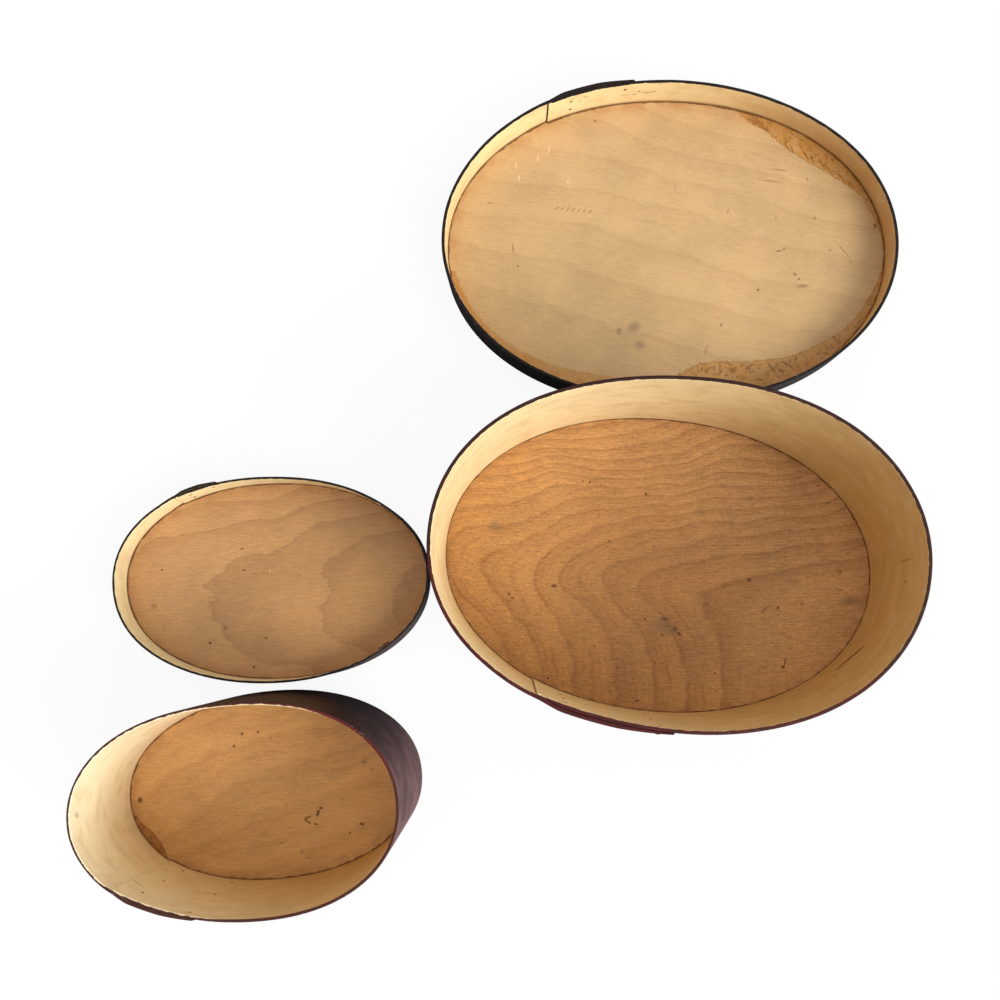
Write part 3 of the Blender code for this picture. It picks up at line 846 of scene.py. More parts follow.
        top = self.oval.height
        bare = self.band - self.painted_rim
        sheet_bare, loop_bare = (bare * smooth((self.girth - flat_run) / self.bare_fade)
                                 for flat_run in (sheet[:, 0], outline[:, 0]))
        below = top - sheet[:, 1]
        inside_start = np.where(outline[:, 0] < self.start_edge, -self.well_painted, 0.0)
        coat = np.concatenate([np.full(len(sheet), self.well_painted), -sheet_bare - below]
                              + [limit - loop_bare + inside_start for limit in limits])
        edges = np.concatenate([edge, edge] + [np.zeros(len(loop))] * len(down))
        all_flat = np.concatenate(places)
        all_depth = np.concatenate(depths)
        share = all_depth / self.thickness(all_flat[:, 0])
        points = self.bend(all_flat[:, 0], all_flat[:, 1], all_depth)
        carried = {"strip": np.column_stack([all_flat, share]),
                   "coat": np.column_stack([coat, edges, top - all_flat[:, 1]])}

        count = len(flat)
        rings = [2 * count + number * len(loop) + np.arange(len(loop)) for number in range(len(down))]
        loops = [loop] + rings + [count + loop]
        quads = [faces, count + faces[:, ::-1]]
        quads += [ring_faces(upper, lower) for upper, lower in zip(loops, loops[1:])]
        if self.sense < 0:
            quads = [part[:, ::-1] for part in quads]
        return points, quads, carried

    def wall_spot(self, pixel: Pixel, place: Place, camera: PhotoCamera) -> tuple[float, float]:
        """The run and height on the inner face that a pixel of the photograph shows.

        Args:
            pixel: the pixel.
            place: where the piece stands.
            camera: the camera.

        Returns:
            Run and height.
        """
        run_steps, height_steps = 900, 120
        runs = np.linspace(0.0, self.girth, run_steps, endpoint=False)
        heights = np.linspace(0.0, self.oval.height, height_steps)
        run, height = (part.ravel() for part in np.meshgrid(runs, heights))
        seen = camera.to_pixels(place.put(self.bend(run, height, np.zeros(run.size))))
        nearest = int(np.argmin(((seen - np.array(pixel)) ** 2).sum(axis=1)))
        return float(run[nearest]), float(height[nearest])


@dataclass(frozen=True)
class GrowthLine:
    """One dark growth line of a board: its number, outwards from the heart, and pixels on it."""
    number: float
    pixels: tuple[Pixel, ...]


def growth_from(table: dict[float, tuple[Pixel, ...]]) -> tuple[GrowthLine, ...]:
    """Growth lines from a table of their numbers and pixels."""
    return tuple(GrowthLine(number, pixels) for number, pixels in table.items())


@dataclass(frozen=True)
class GlueStain:
    """A stain along a board's edge: pixels on its inner outline, from one end to the other."""
    pixels: tuple[Pixel, ...]


@dataclass(frozen=True)
class OvalBoard:
    """A flat oval board, set inside the foot of its band."""
    band: BentBand
    thickness: float
    growth: tuple[GrowthLine, ...]
    stains: tuple[GlueStain, ...] = ()
    seat_gap: float = 0.06 * MM
    seam_gap: float = 0.5 * MM
    edge_round: float = 0.1 * MM
    far_outside: float = -9 * MM
    past_stain: float = -3 * MM
    rings: int = 96
    sides: int = 640
    under_rings: int = 6
    round_steps: int = 3

    def outline(self) -> tuple[np.ndarray, np.ndarray]:
        """The board's edge: places and outward directions, in the piece's own axes.

        It keeps the seat gap to the band's inner face, also where that climbs towards the lap.

        Returns:
            Places and unit vectors.
        """
        band = self.band
        run = np.arange(self.sides) * band.girth / self.sides
        run[-1] = band.girth - self.seam_gap
        angles = band.angle_at(run)
        height = self.thickness / 2
        inner = np.where(run > 0, band.inner_face(run), -band.band)
        if band.sense < 0:
            angles, inner = angles[::-1], inner[::-1]
        outward = band.oval.outward(angles, height)
        edge = band.oval.points(angles, height) + outward * (inner - self.seat_gap)[:, None]
        return edge, outward

    def stain_field(self, angle: np.ndarray, inset: np.ndarray, edge: np.ndarray, outward: np.ndarray,
                    place: Place, camera: PhotoCamera) -> np.ndarray:
        """How far each point lies inside a stain's outline, in metres, and below 0 outside it.

        Args:
            angle: polar angle of each point.
            inset: its distance to the board's edge.
            edge: the board's edge, in its own axes.
            outward: the directions out of that edge.
            place: where the board stands.
            camera: the photograph's camera.

        Returns:
            The field, for each point.
        """
        field_now = np.full(angle.shape, self.far_outside)
        edge_angle = np.arctan2(edge[:, 1], edge[:, 0])
        order = np.argsort(edge_angle)
        reach = np.linalg.norm(edge, axis=1)
        for stain in self.stains:
            spots = place.take(camera.to_level(stain.pixels, self.thickness))
            turn = np.unwrap(np.arctan2(spots[:, 1], spots[:, 0]))
            wrapped = (turn + math.pi) % FULL_TURN - math.pi
            far = np.interp(wrapped, edge_angle[order], reach[order], period=FULL_TURN)
            cosine = np.interp(wrapped, edge_angle[order], ((edge * outward).sum(axis=1) / reach)[order],
                               period=FULL_TURN)
            width = (far - np.linalg.norm(spots, axis=1)) * cosine
            middle = turn.mean()
            near = (angle - middle + math.pi) % FULL_TURN - math.pi + middle
            rank = np.argsort(turn)
            wide = np.interp(near, turn[rank], width[rank], left=self.past_stain, right=self.past_stain)
            field_now = np.maximum(field_now, wide - inset)
        return field_now

    def surface(self, place: Place, camera: PhotoCamera) -> DressedMesh:
        """The board as a closed surface with eased edges.

        A profile runs from the middle of the top out to the edge, round it and back under. Each
        of its points is a share of the way out, an inset from the edge and a height.

        Args:
            place: where the board stands.
            camera: the photograph's camera.

        Returns:
            Points in the piece's own axes, faces, and "grain", what the surface carries: growth
            number, distance to the edge and the stain's field.
        """
        edge, outward = self.outline()
        turns = np.arange(self.round_steps + 1) / self.round_steps * math.pi / 2
        shares = np.linspace(0.0, 1.0, self.rings + 1)[1:]
        under = np.linspace(1.0, 0.0, self.under_rings + 1)[:-1]
        radius = self.edge_round
        share = np.concatenate([shares, np.ones(2 * len(turns) - 2), under])
        inset = np.concatenate([np.full(self.rings, radius), radius * (1 - np.sin(turns[1:])),
                                radius * (1 - np.sin(turns[:0:-1])), np.full(self.under_rings, radius)])
        sunk = radius * (1 - np.cos(turns[1:]))
        height = np.concatenate([np.full(self.rings, self.thickness), self.thickness - sunk, sunk[::-1],
                                 np.zeros(self.under_rings)])
        level = share[:, None, None] * (edge - inset[:, None, None] * outward)
        rows = np.concatenate([level, np.broadcast_to(height[:, None, None], (*level.shape[:2], 1))], axis=-1)
        poles = np.array([[0.0, 0.0, self.thickness], [0.0, 0.0, 0.0]])
        points = np.concatenate([rows.reshape(-1, 3), poles])

        numbers = np.arange(rows.shape[0] * self.sides).reshape(rows.shape[0], self.sides)
        closed = np.hstack([numbers, numbers[:, :1]])
        count = numbers.size
        first, last = closed[0], closed[-1]
        top = np.stack([np.full(self.sides, count), first[:-1], first[1:]], axis=-1)
        bottom = np.stack([np.full(self.sides, count + 1), last[1:], last[:-1]], axis=-1)
        faces = [grid_faces(closed), top, bottom]

        apart = (1 - share[:, None]) * (edge * outward).sum(axis=1) + inset[:, None] * share[:, None]
        apart = np.concatenate([apart.ravel(), [self.band.oval.half_width] * 2])
        world = place.put(points)
        knots = np.concatenate([camera.to_level(line.pixels, self.thickness) for line in self.growth])
        values = np.concatenate([np.full(len(line.pixels), line.number) for line in self.growth])
        growth = thin_plate(knots, values, world[:, :2])
        angle = np.arctan2(points[:, 1], points[:, 0])
        stain = self.stain_field(angle, apart, edge, outward, place, camera)
        return points, faces, {"grain": np.column_stack([growth, apart, stain])}


def turned(profile: np.ndarray, sides: int, outline: np.ndarray) -> Mesh:
    """A surface turned about Z from a profile whose ends lie on the axis.

    Args:
        profile: radius and height of each ring, with radius 0 at both ends, from low to high.
        sides: how many steps one turn has.
        outline: a factor on the radius for each step.

    Returns:
        Points and faces of a closed surface.
    """
    angle = np.arange(sides) * FULL_TURN / sides
    rings = profile[1:-1]
    x = rings[:, :1] * np.cos(angle) * outline
    y = rings[:, :1] * np.sin(angle) * outline
    z = np.broadcast_to(rings[:, 1:], x.shape)
    poles = np.array([[0.0, 0.0, profile[0, 1]], [0.0, 0.0, profile[-1, 1]]])
    points = np.concatenate([np.stack([x, y, z], axis=-1).reshape(-1, 3), poles])
    numbers = np.arange(x.size).reshape(x.shape)
    closed = np.hstack([numbers, numbers[:, :1]])
    low = np.stack([np.full(sides, x.size), closed[0, 1:], closed[0, :-1]], axis=-1)
    high = np.stack([np.full(sides, x.size + 1), closed[-1, :-1], closed[-1, 1:]], axis=-1)
    return points, [grid_faces(closed)[:, ::-1], low, high]


@dataclass(frozen=True)
class CopperTack:
    """A small copper tack: a hammered head outside, a shank, and its point bent over inside."""
    head_radius: float = 1.9 * MM
    head_height: float = 0.7 * MM
    shank_radius: float = 0.6 * MM
    point_length: float = 1.7 * MM
    point_height: float = 0.22 * MM
    squareness: float = 2.7
    sides: int = 28

    def surface(self, grip: float, turn: float) -> Mesh:
        """The tack about Z, its head's foot at the origin.

        The head is a low dome, z = h (1 - s^2.4), on a rounded square outline. Below the grip,
        the shank's end is drawn out to one side and flattened against the wood.

        Args:
            grip: how thick the wood is that it goes through.
            turn: how far the head and the point are turned, in radians.

        Returns:
            Points and faces.
        """
        share = np.linspace(0.0, 1.0, 9)[1:]
        head = np.column_stack([self.head_radius * share, self.head_height * (1 - 0.8 * share ** 2.4)])
        rim = [[self.head_radius * 0.97, 0.0], [self.shank_radius, 0.0]]
        shank = [[self.shank_radius, -grip], [self.shank_radius, -grip - self.point_height * 0.6],
                 [self.shank_radius * 0.6, -grip - self.point_height]]
        profile = np.array([[0.0, self.head_height], *head.tolist(), *rim, *shank,
                            [0.0, -grip - self.point_height]])[::-1]
        angle = np.arange(self.sides) * FULL_TURN / self.sides
        power = self.squareness
        across, along = np.abs(np.cos(angle + turn)), np.abs(np.sin(angle + turn))
        square = (across ** power + along ** power) ** (-1 / power)
        points, faces = turned(profile, self.sides, square * 0.93)
        inside = points[:, 2] < -grip + 0.01 * MM
        stretch = np.where(inside, self.point_length / 2 / self.shank_radius, 1.0)
        points[:, 0] *= stretch
        points[:, 0] += np.where(inside, self.point_length / 3, 0.0)
        points[:, 2] += 0.05 * MM * np.sin(points[:, 0] * 3 / MM + turn) * (points[:, 2] > 0.05 * MM)
        return points, faces


@dataclass(frozen=True)
class WoodenPeg:
    """A whittled peg, driven through the band into the board's edge."""
    radius: float = 0.9 * MM
    bite: float = 6.5 * MM
    proud: float = 0.12 * MM
    facets: int = 7
    sides: int = 28

    def surface(self, band: float, gap: float) -> Mesh:
        """The peg about Z, with the band's outer face at height 0.

        Its radius falls by 6% in the middle of each whittled facet.

        Args:
            band: the band's thickness.
            gap: the gap between band and board.

        Returns:
            Points and faces.
        """
        low = -band - gap - self.bite
        profile = np.array([[0.0, low], [self.radius * 0.55, low], [self.radius * 0.9, low + 1.2 * MM],
                            [self.radius, -band], [self.radius, 0.0], [self.radius * 0.93, self.proud * 0.7],
                            [self.radius * 0.6, self.proud], [0.0, self.proud]])
        angle = np.arange(self.sides) * FULL_TURN / self.sides
        return turned(profile, self.sides, 1 - 0.03 * (1 + np.cos(self.facets * angle)))


@dataclass(frozen=True)
class BoardFinish:
    """The finish of a bare board."""
    light: Colour
    dark: Colour
    # The colour that the board turns to towards one side, as painted light and shade.
    painted_side_shading: Colour
    line_strength: float
    line_sharpness: float
    half_strength: float
    fade_strength: float
    fine_strength: float
    wander: float
    # The side of that painted light and shade, and its strength.
    shading_side: float
    side_shading_strength: float
    fibre_turn: float
    texture: float = 1.0
    core: Colour = srgb(150, 98, 38)
    core_strength: float = 0.0
    stain_ragged: float = 3.0 * MM
    crust_side: float = 0.0
    stain: Colour = srgb(186, 122, 52)
    stain_crust: Colour = srgb(120, 74, 22)
    joint: Colour = srgb(104, 60, 20)
    joint_width: float = 0.5 * MM
    joint_strength: float = 0.85
    # The colour that the board turns to near the wall, its strength and its width.
    near_wall_colour: Colour = srgb(150, 92, 44)
    near_wall_strength: float = 0.35
    near_wall_width: float = 7 * MM
    heart: float = -0.3
    roughness: float = 0.56

    def material(self, name: str, place: Place, half_length: float, marks: tuple[Mark, ...],
                 spots: np.ndarray) -> bpy.types.Material:
        """Makes the material.

        Args:
            name: its name.
            place: where the board stands.
            half_length: half the board's length.
            marks: the marks on it.
            spots: their places in the model, one row each.

        Returns:
            The material.
        """
        recipe = Recipe(name)
        where = recipe.place()
        own = recipe.mapped(where, (place.x, place.y, 0.0), place.heading + self.fibre_turn, (1.0, 1.0, 1.0))
        growth, apart, stain = recipe.parts(recipe.attribute("grain"))

        fibre = recipe.stretched(own, (110.0, 1500.0, 300.0), 3.0, 0.6)
        fleck = recipe.stretched(own, (260.0, 2400.0, 300.0), 1.0, 0.5)
        cloud = recipe.noise(own, 34.0, 3.0, 0.55)
        speck = recipe.stretched(own, (900.0, 1900.0, 900.0), 2.0, 0.7)
        rings = self.ring_share(recipe, own, growth)

        # Painted light and shade: the board turns lighter or darker towards one side.
        painted_side_shading = recipe.towards(place, place.heading + self.shading_side, half_length)
        painted_side_shading = recipe.ease(painted_side_shading, -0.9, 1.0, 0.0, self.side_shading_strength)
        colour = recipe.mix(painted_side_shading, self.light, self.painted_side_shading)
        core = recipe.mapped(where, (place.x, place.y, 0.0), place.heading, (half_length, half_length, 1.0))
        core = recipe.ease(recipe.length(core), 0.1, 0.75, self.core_strength, 0.0)
        colour = recipe.mix(core, colour, self.core)
        colour = recipe.mix(rings, colour, self.dark)
        grain = self.texture
        level = recipe.plus(recipe.ease(cloud, 0.3, 0.7, 0.93, 1.07),
                            recipe.ease(fibre, 0.25, 0.75, -0.08 * grain, 0.08 * grain))
        level = recipe.plus(level, recipe.ease(speck, 0.3, 0.7, -0.09 * grain, 0.09 * grain))
        level = recipe.minus(level, recipe.ease(fleck, 0.58, 0.74, 0.0, 0.14 * grain))
        level = recipe.plus(level, recipe.ease(fleck, 0.42, 0.26, 0.0, 0.1 * grain))
        colour = recipe.shade(colour, level)

        uneven = recipe.minus(recipe.noise(own, 380.0, 3.0, 0.65), 0.5)
        ragged = recipe.times(uneven, self.stain_ragged)
        stain_edge = recipe.plus(stain, ragged)
        in_stain = recipe.ease(stain_edge, -0.15 * MM, 0.25 * MM)
        rim_of_stain = recipe.ease(recipe.math('ABSOLUTE', stain_edge), 0.8 * MM, 0.1 * MM, 0.0, 0.6)
        streak = recipe.ease(recipe.noise(own, 150.0, 3.0, 0.6), 0.35, 0.65, 0.55, 0.9)
        colour = recipe.mix(recipe.times(in_stain, streak), colour, self.stain)
        crust = recipe.ease(recipe.elsewhere(own, (3.0, 1.0, 0.0), 620.0, 3.0, 0.7), 0.48, 0.62, 0.0, 0.75)
        crust = recipe.times(crust, recipe.ease(recipe.noise(own, 170.0, 2.0), 0.38, 0.55))
        crusty = recipe.ease(recipe.towards(place, self.crust_side, half_length), -0.15, 0.1, 0.25, 1.0)
        crust = recipe.times(recipe.greater(crust, rim_of_stain), crusty)
        colour = recipe.mix(recipe.times(crust, in_stain), colour, self.stain_crust)

        # The board turns darker and browner towards the wall.
        near_wall_share = recipe.times(recipe.ease(apart, self.near_wall_width, 0.3 * MM, 0.0, self.near_wall_strength),
                            recipe.ease(recipe.noise(own, 120.0, 3.0), 0.35, 0.65))
        colour = recipe.mix(near_wall_share, colour, self.near_wall_colour)
        waver = recipe.ease(recipe.noise(own, 160.0, 3.0, 0.6), 0.35, 0.7, -0.2 * MM, 0.9 * self.joint_width)
        joint = recipe.ease(recipe.minus(recipe.plus(apart, recipe.times(ragged, 0.1)), waver),
                            self.joint_width, 0.1 * MM, 0.0, self.joint_strength)
        colour = recipe.mix(joint, colour, self.joint)

        pits, colour = add_marks(recipe, where, colour, marks, spots)
        rough = recipe.minus(recipe.ease(cloud, 0.3, 0.7, self.roughness - 0.04, self.roughness + 0.05),
                            recipe.times(in_stain, 0.12))
        relief = recipe.minus(recipe.plus(recipe.times(fibre, 0.35),
                                                     recipe.times(rings, -0.25)),
                             recipe.times(pits, 0.2))
        return recipe.finish(colour, rough, relief, 0.12 * MM)

    def ring_share(self, recipe: Recipe, own: Value, growth: Value) -> bpy.types.NodeSocket:
        """How much of the dark growth colour each place has.

        There is a thin dark line at each whole number, with a fade that leads up to it, a fainter
        one halfway between, and still finer ones. Slow noise breaks each kind at its own places.

        Args:
            recipe: the material's recipe.
            own: the place on the board, in its own axes.
            growth: the growth number.

        Returns:
            The share, 0 to 1.
        """
        slow = recipe.stretched(own, (50.0, 120.0, 60.0), 2.0, 0.5)
        quick = recipe.stretched(own, (300.0, 700.0, 300.0), 2.0, 0.6)
        swing = recipe.plus(slow, recipe.times(quick, 0.35))
        swing = recipe.times(recipe.minus(swing, 0.675), self.wander)
        number = recipe.plus(growth, swing)
        part = recipe.math('FRACT', number)
        near = recipe.math('MINIMUM', part, recipe.minus(1.0, part))
        broken = recipe.ease(recipe.noise(own, 60.0, 2.0), 0.3, 0.6, 0.35, 1.0)
        line = recipe.times(recipe.ease(near, self.line_sharpness, 0.0, 0.0, self.line_strength), broken)
        fade = recipe.times(recipe.math('POWER', part, 2.2), self.fade_strength)
        halfway = recipe.math('ABSOLUTE', recipe.minus(part, 0.54))
        patchy = recipe.ease(recipe.elsewhere(own, (1.0, 2.0, 3.0), 48.0, 2.0), 0.4, 0.6)
        half = recipe.times(recipe.ease(halfway, self.line_sharpness, 0.0, 0.0, self.half_strength), patchy)
        fine_part = recipe.math('FRACT', recipe.times(number, 5.0))
        sparse = recipe.ease(recipe.elsewhere(own, (5.0, 1.0, 2.0), 70.0, 2.0), 0.4, 0.62)
        fine = recipe.times(recipe.math('POWER', fine_part, 3.0), self.fine_strength)
        fine = recipe.times(fine, sparse)
        total = recipe.plus(recipe.greater(recipe.greater(line, fade), half), fine)
        return recipe.times(total, recipe.ease(growth, self.heart - 0.5, self.heart))


def add_marks(recipe: Recipe, where: Value, colour: Value, marks: tuple[Mark, ...],
              spots: np.ndarray) -> tuple[bpy.types.NodeSocket, bpy.types.NodeSocket]:
    """Paints marks over a colour.

    Each mark is an ellipse of ragged outline: the distance from its middle, in half lengths and
    half widths, is eased from 1 inside to 0 outside.

    Args:
        recipe: the material's recipe.
        where: the coordinate that the marks lie on.
        colour: the colour under them.
        marks: the marks.
        spots: the middle of each, in that coordinate.

    Returns:
        The share of the pits, and the colour with the marks.
    """
    crumble = recipe.noise(where, 900.0, 2.0, 0.6)
    where = recipe.warped(where, 700.0, 0.9 * MM)
    pits: Value = 0.0
    for kind in MarkKind:
        share: Value = 0.0
        for mark, spot in zip(marks, spots):
            if mark.kind is kind:
                size = (mark.long / 2, mark.wide / 2, 1.0)
                middle = (float(spot[0]), float(spot[1]), 0.0)
                away = recipe.length(recipe.mapped(where, middle, mark.turn, size))
                inside = recipe.ease(away, 1.0 + kind.softness * 0.6, 1.0 - kind.softness * 0.8)
                share = recipe.greater(inside, share)
        if not isinstance(share, float):
            share = recipe.times(share, recipe.ease(crumble, 0.32, 0.5, 0.7 * kind.strength, kind.strength))
            colour = recipe.mix(share, colour, kind.colour)
            if kind is MarkKind.PIT:
                pits = share
    return pits, colour


@dataclass(frozen=True)
class BandFinish:
    """The finish of a band: bare maple inside, old paint outside and over the rim."""
    wood: Colour
    # Also the colour of the painted shade on one side of the inner face and low down, besides random deeper
    # patches.
    amber_and_shade: Colour
    paint: Colour
    worn_paint: Colour
    bare_edge: Colour
    seam: Colour
    seam_strength: float
    # The side whose inner face gets the most painted shade, and how much.
    shaded_side: float
    side_shade_strength: float
    rim_paint: Colour
    # A paler colour towards one side of the outside: a painted sheen, standing in for the gloss reflection of
    # the lit floor.
    painted_sheen: Colour
    pale_patch: Colour = srgb(255, 236, 196)
    # The painted sheen's side, where the paint also reaches further over the rim; where the sheen starts; and
    # its strength.
    sheen_and_reach_side: float = 0.0
    sheen_from: float = 0.45
    sheen_strength: float = 0.9
    rim_red: Colour = srgb(104, 24, 22)
    rim_red_side: float = -100.0
    rim_red_from: float = 0.2
    rim_red_strength: float = 0.0
    rim_reach: float = 0.0
    foot_dirt: float = 1.2 * MM
    dust: float = 0.2
    wood_roughness: float = 0.55
    paint_roughness: float = 0.5
    fleck: Colour = srgb(206, 196, 192)
    specular: float = 0.25
    # Where round the band the painted shade begins, and how much painted shade the foot of the wall gets.
    side_shade_from: float = -0.75
    low_shade: float = 0.15
    streak_depth: float = 0.03

    def material(self, name: str, place: Place, band: BentBand, board: float, marks: tuple[Mark, ...],
                 spots: np.ndarray) -> bpy.types.Material:
        """Makes the material.

        Args:
            name: its name.
            place: where the band stands.
            band: the band.
            board: the thickness of the board inside it.
            marks: the marks on its inner face.
            spots: their runs and heights, one row each.

        Returns:
            The material.
        """
        recipe = Recipe(name)
        strip = recipe.attribute("strip")
        run, height, share = recipe.parts(strip)
        coat, edge, below = recipe.parts(recipe.attribute("coat"))
        wood = self.wood_colour(recipe, place, strip, run, height, band, board)
        pits, wood = add_marks(recipe, strip, wood, marks, spots)

        scatter = recipe.noise(recipe.vector('MULTIPLY', strip, (1.0, 1.0, 0.002)), 230.0, 4.0, 0.6)
        ragged = recipe.times(recipe.minus(scatter, 0.5), 1.1 * MM)
        # The side of the painted sheen, where the paint also reaches further over the rim.
        side = recipe.towards(place, self.sheen_and_reach_side, band.oval.half_length)
        further = recipe.ease(side, 0.05, 0.4, 0.0, self.rim_reach)
        limit = recipe.plus(recipe.plus(coat, ragged), further)
        painted = recipe.ease(limit, -0.12 * MM, 0.1 * MM)
        # Painted sheen: the paint turns paler towards that side, in place of a gloss reflection.
        painted_sheen = recipe.ease(side, self.sheen_from, 1.0, 0.0, self.sheen_strength)
        redder = recipe.towards(place, self.rim_red_side, band.oval.half_length)
        redder = recipe.ease(redder, self.rim_red_from, self.rim_red_from + 0.12, 0.0, self.rim_red_strength)
        paint, worn = self.paint_colour(recipe, strip, edge, below, share, painted_sheen, redder)
        colour = recipe.mix(painted, wood, paint)

        streaks = recipe.stretched(strip, (40.0, 900.0, 0.2), 3.0, 0.6)
        gloss = recipe.ease(streaks, 0.3, 0.7, self.paint_roughness - 0.05, self.paint_roughness + 0.08)
        gloss = recipe.plus(gloss, recipe.times(worn, 0.2))
        rough = recipe.between(painted, self.wood_roughness, gloss)
        streaky = recipe.between(painted, 0.4, 0.1)
        relief = recipe.plus(recipe.times(streaks, streaky), recipe.times(painted, 0.5))
        relief = recipe.minus(recipe.minus(relief, pits), recipe.times(worn, 0.35))
        return recipe.finish(colour, rough, relief, 0.1 * MM, self.specular)

    def wood_colour(self, recipe: Recipe, place: Place, strip: Value, run: Value, height: Value,
                    band: BentBand, board: float) -> bpy.types.NodeSocket:
        """The bare maple's colour: streaks along the bend, and painted shade on one side and low down.

        Args:
            recipe: the material's recipe.
            place: where the band stands.
            strip: run, height and depth share.
            run: the run.
            height: the height.
            band: the band.
            board: the thickness of the board inside it.

        Returns:
            The colour.
        """
        streak = recipe.stretched(strip, (22.0, 520.0, 0.0), 4.0, 0.6)
        cloud = recipe.noise(recipe.vector('MULTIPLY', strip, (1.0, 1.6, 0.0)), 32.0, 3.0, 0.5)
        # Painted shade: a deeper colour towards the shaded side and down towards the board, for the shade and
        # bounce light inside the box.
        amber_and_shade = recipe.towards(place, self.shaded_side, band.oval.half_length)
        amber_and_shade = recipe.ease(amber_and_shade, self.side_shade_from, 0.95, 0.0, self.side_shade_strength)
        low = recipe.ease(height, band.oval.height, board, 0.0, self.low_shade)
        amber_and_shade = recipe.plus(amber_and_shade, recipe.times(low, recipe.ease(cloud, 0.3, 0.7, 0.6, 1.2)))
        colour = recipe.mix(amber_and_shade, self.wood, self.amber_and_shade)
        blotch = recipe.noise(recipe.vector('MULTIPLY', strip, (1.0, 1.4, 0.0)), 75.0, 3.0, 0.6)
        colour = recipe.mix(recipe.ease(blotch, 0.45, 0.68, 0.0, 0.22), colour, self.amber_and_shade)
        colour = recipe.mix(recipe.ease(blotch, 0.52, 0.3, 0.0, 0.1), colour, self.pale_patch)
        streaky = recipe.ease(streak, 0.28, 0.72, 1.0 - self.streak_depth, 1.0 + self.streak_depth)
        level = recipe.plus(streaky, recipe.ease(cloud, 0.3, 0.7, -0.04, 0.04))
        speck = recipe.stretched(strip, (900.0, 1500.0, 0.0), 2.0, 0.7)
        level = recipe.plus(level, recipe.ease(speck, 0.3, 0.7, -0.05, 0.05))
        colour = recipe.shade(colour, level)
        over_joint = recipe.ease(recipe.plus(height, recipe.times(blotch, self.foot_dirt)),
                                 board + 1.7 * self.foot_dirt, board + 0.4 * self.foot_dirt, 0.0, 0.8)
        colour = recipe.mix(over_joint, colour, self.bare_edge)
        at_end = recipe.ease(run, band.girth - 1.0 * MM, band.girth - 0.35 * MM)
        at_start = recipe.ease(run, 0.12 * MM, 0.0)
        seam = recipe.times(recipe.greater(at_end, at_start), self.seam_strength)
        return recipe.mix(seam, colour, self.seam)

    def paint_colour(self, recipe: Recipe, strip: Value, edge: Value, below: Value, share: Value,
                     painted_sheen: Value, redder: Value) -> tuple[bpy.types.NodeSocket, bpy.types.NodeSocket]:
        """Paint colour: dark, redder on the rim, rubbed through along its edges, a painted sheen on one side.

        Args:
            recipe: the material's recipe.
            strip: run, height and depth share.
            edge: the distance to the nearest edge.
            below: the distance below the rim.
            share: the depth share.
            painted_sheen: how much of the painted sheen, a paler colour for a gloss reflection, the paint
                takes.
            redder: how much redder the rim is.

        Returns:
            The colour, and how worn the paint is.
        """
        flat = recipe.vector('MULTIPLY', strip, (1.0, 1.0, 0.01))
        cloud = recipe.noise(flat, 60.0, 4.0, 0.6)
        grit = recipe.noise(flat, 650.0, 3.0, 0.65)
        colour = recipe.mix(recipe.ease(cloud, 0.42, 0.75), self.paint, self.worn_paint)
        # Painted sheen, patchy with the paint's cloud.
        sheen_share = recipe.times(painted_sheen, recipe.ease(cloud, 0.3, 0.65, 0.55, 1.0))
        colour = recipe.mix(sheen_share, colour, self.painted_sheen)
        colour = recipe.shade(colour, recipe.ease(grit, 0.3, 0.7, 0.85, 1.15))
        rim = recipe.ease(below, 0.5 * MM, 0.1 * MM)
        inner_rim = recipe.times(rim, recipe.ease(share, 1.0, 0.85))
        patchy = recipe.ease(recipe.noise(flat, 180.0, 3.0, 0.6), 0.38, 0.6, 0.3, 1.0)
        rim_colour = recipe.mix(recipe.times(redder, patchy), self.rim_paint, self.rim_red)
        colour = recipe.mix(inner_rim, colour, rim_colour)
        rubbed = recipe.plus(recipe.ease(edge, 1.6 * MM, 0.0, 0.0, 0.1), grit)
        worn = recipe.ease(rubbed, 0.75, 0.86)
        colour = recipe.mix(recipe.times(worn, 0.5), colour, self.bare_edge)
        specks = recipe.noise(flat, 800.0, 1.0, 0.3)
        sparse = recipe.ease(recipe.elsewhere(flat, (2.0, 3.0, 0.0), 70.0, 1.0), 0.5, 0.6)
        dusty = recipe.times(recipe.ease(specks, 0.705, 0.735, 0.0, self.dust), sparse)
        colour = recipe.mix(dusty, colour, self.fleck)
        return colour, worn


def copper_material() -> bpy.types.Material:
    """Aged copper: two browns mixed by soft noise, with patches of dark tarnish.

    Returns:
        The material.
    """
    recipe = Recipe("aged_copper")
    where = recipe.place()
    cloud = recipe.noise(where, 900.0, 4.0, 0.6)
    colour = recipe.mix(recipe.ease(cloud, 0.35, 0.7), srgb(112, 66, 44), srgb(176, 108, 76))
    tarnish = recipe.ease(recipe.noise(where, 1700.0, 2.0), 0.58, 0.7, 0.0, 0.6)
    colour = recipe.mix(tarnish, colour, srgb(52, 40, 34))
    recipe.shader.inputs["Metallic"].default_value = 1.0
    return recipe.finish(colour, recipe.ease(cloud, 0.3, 0.7, 0.34, 0.55), cloud, 0.08 * MM)


def peg_material(name: str, paint: Colour) -> bpy.types.Material:
    """A peg's end under the paint, with a little of its wood rubbed bare.

    Args:
        name: the material's name.
        paint: the paint's colour.

    Returns:
        The material.
    """
    recipe = Recipe(name)
    where = recipe.place()
    grit = recipe.noise(where, 1500.0, 3.0, 0.6)
    wood = recipe.mix(recipe.noise(where, 3000.0), srgb(128, 84, 48), srgb(164, 116, 70))
    colour = recipe.mix(recipe.ease(grit, 0.6, 0.5), wood, paint)
    return recipe.finish(colour, recipe.ease(grit, 0.3, 0.7, 0.4, 0.6), grit, 0.08 * MM)


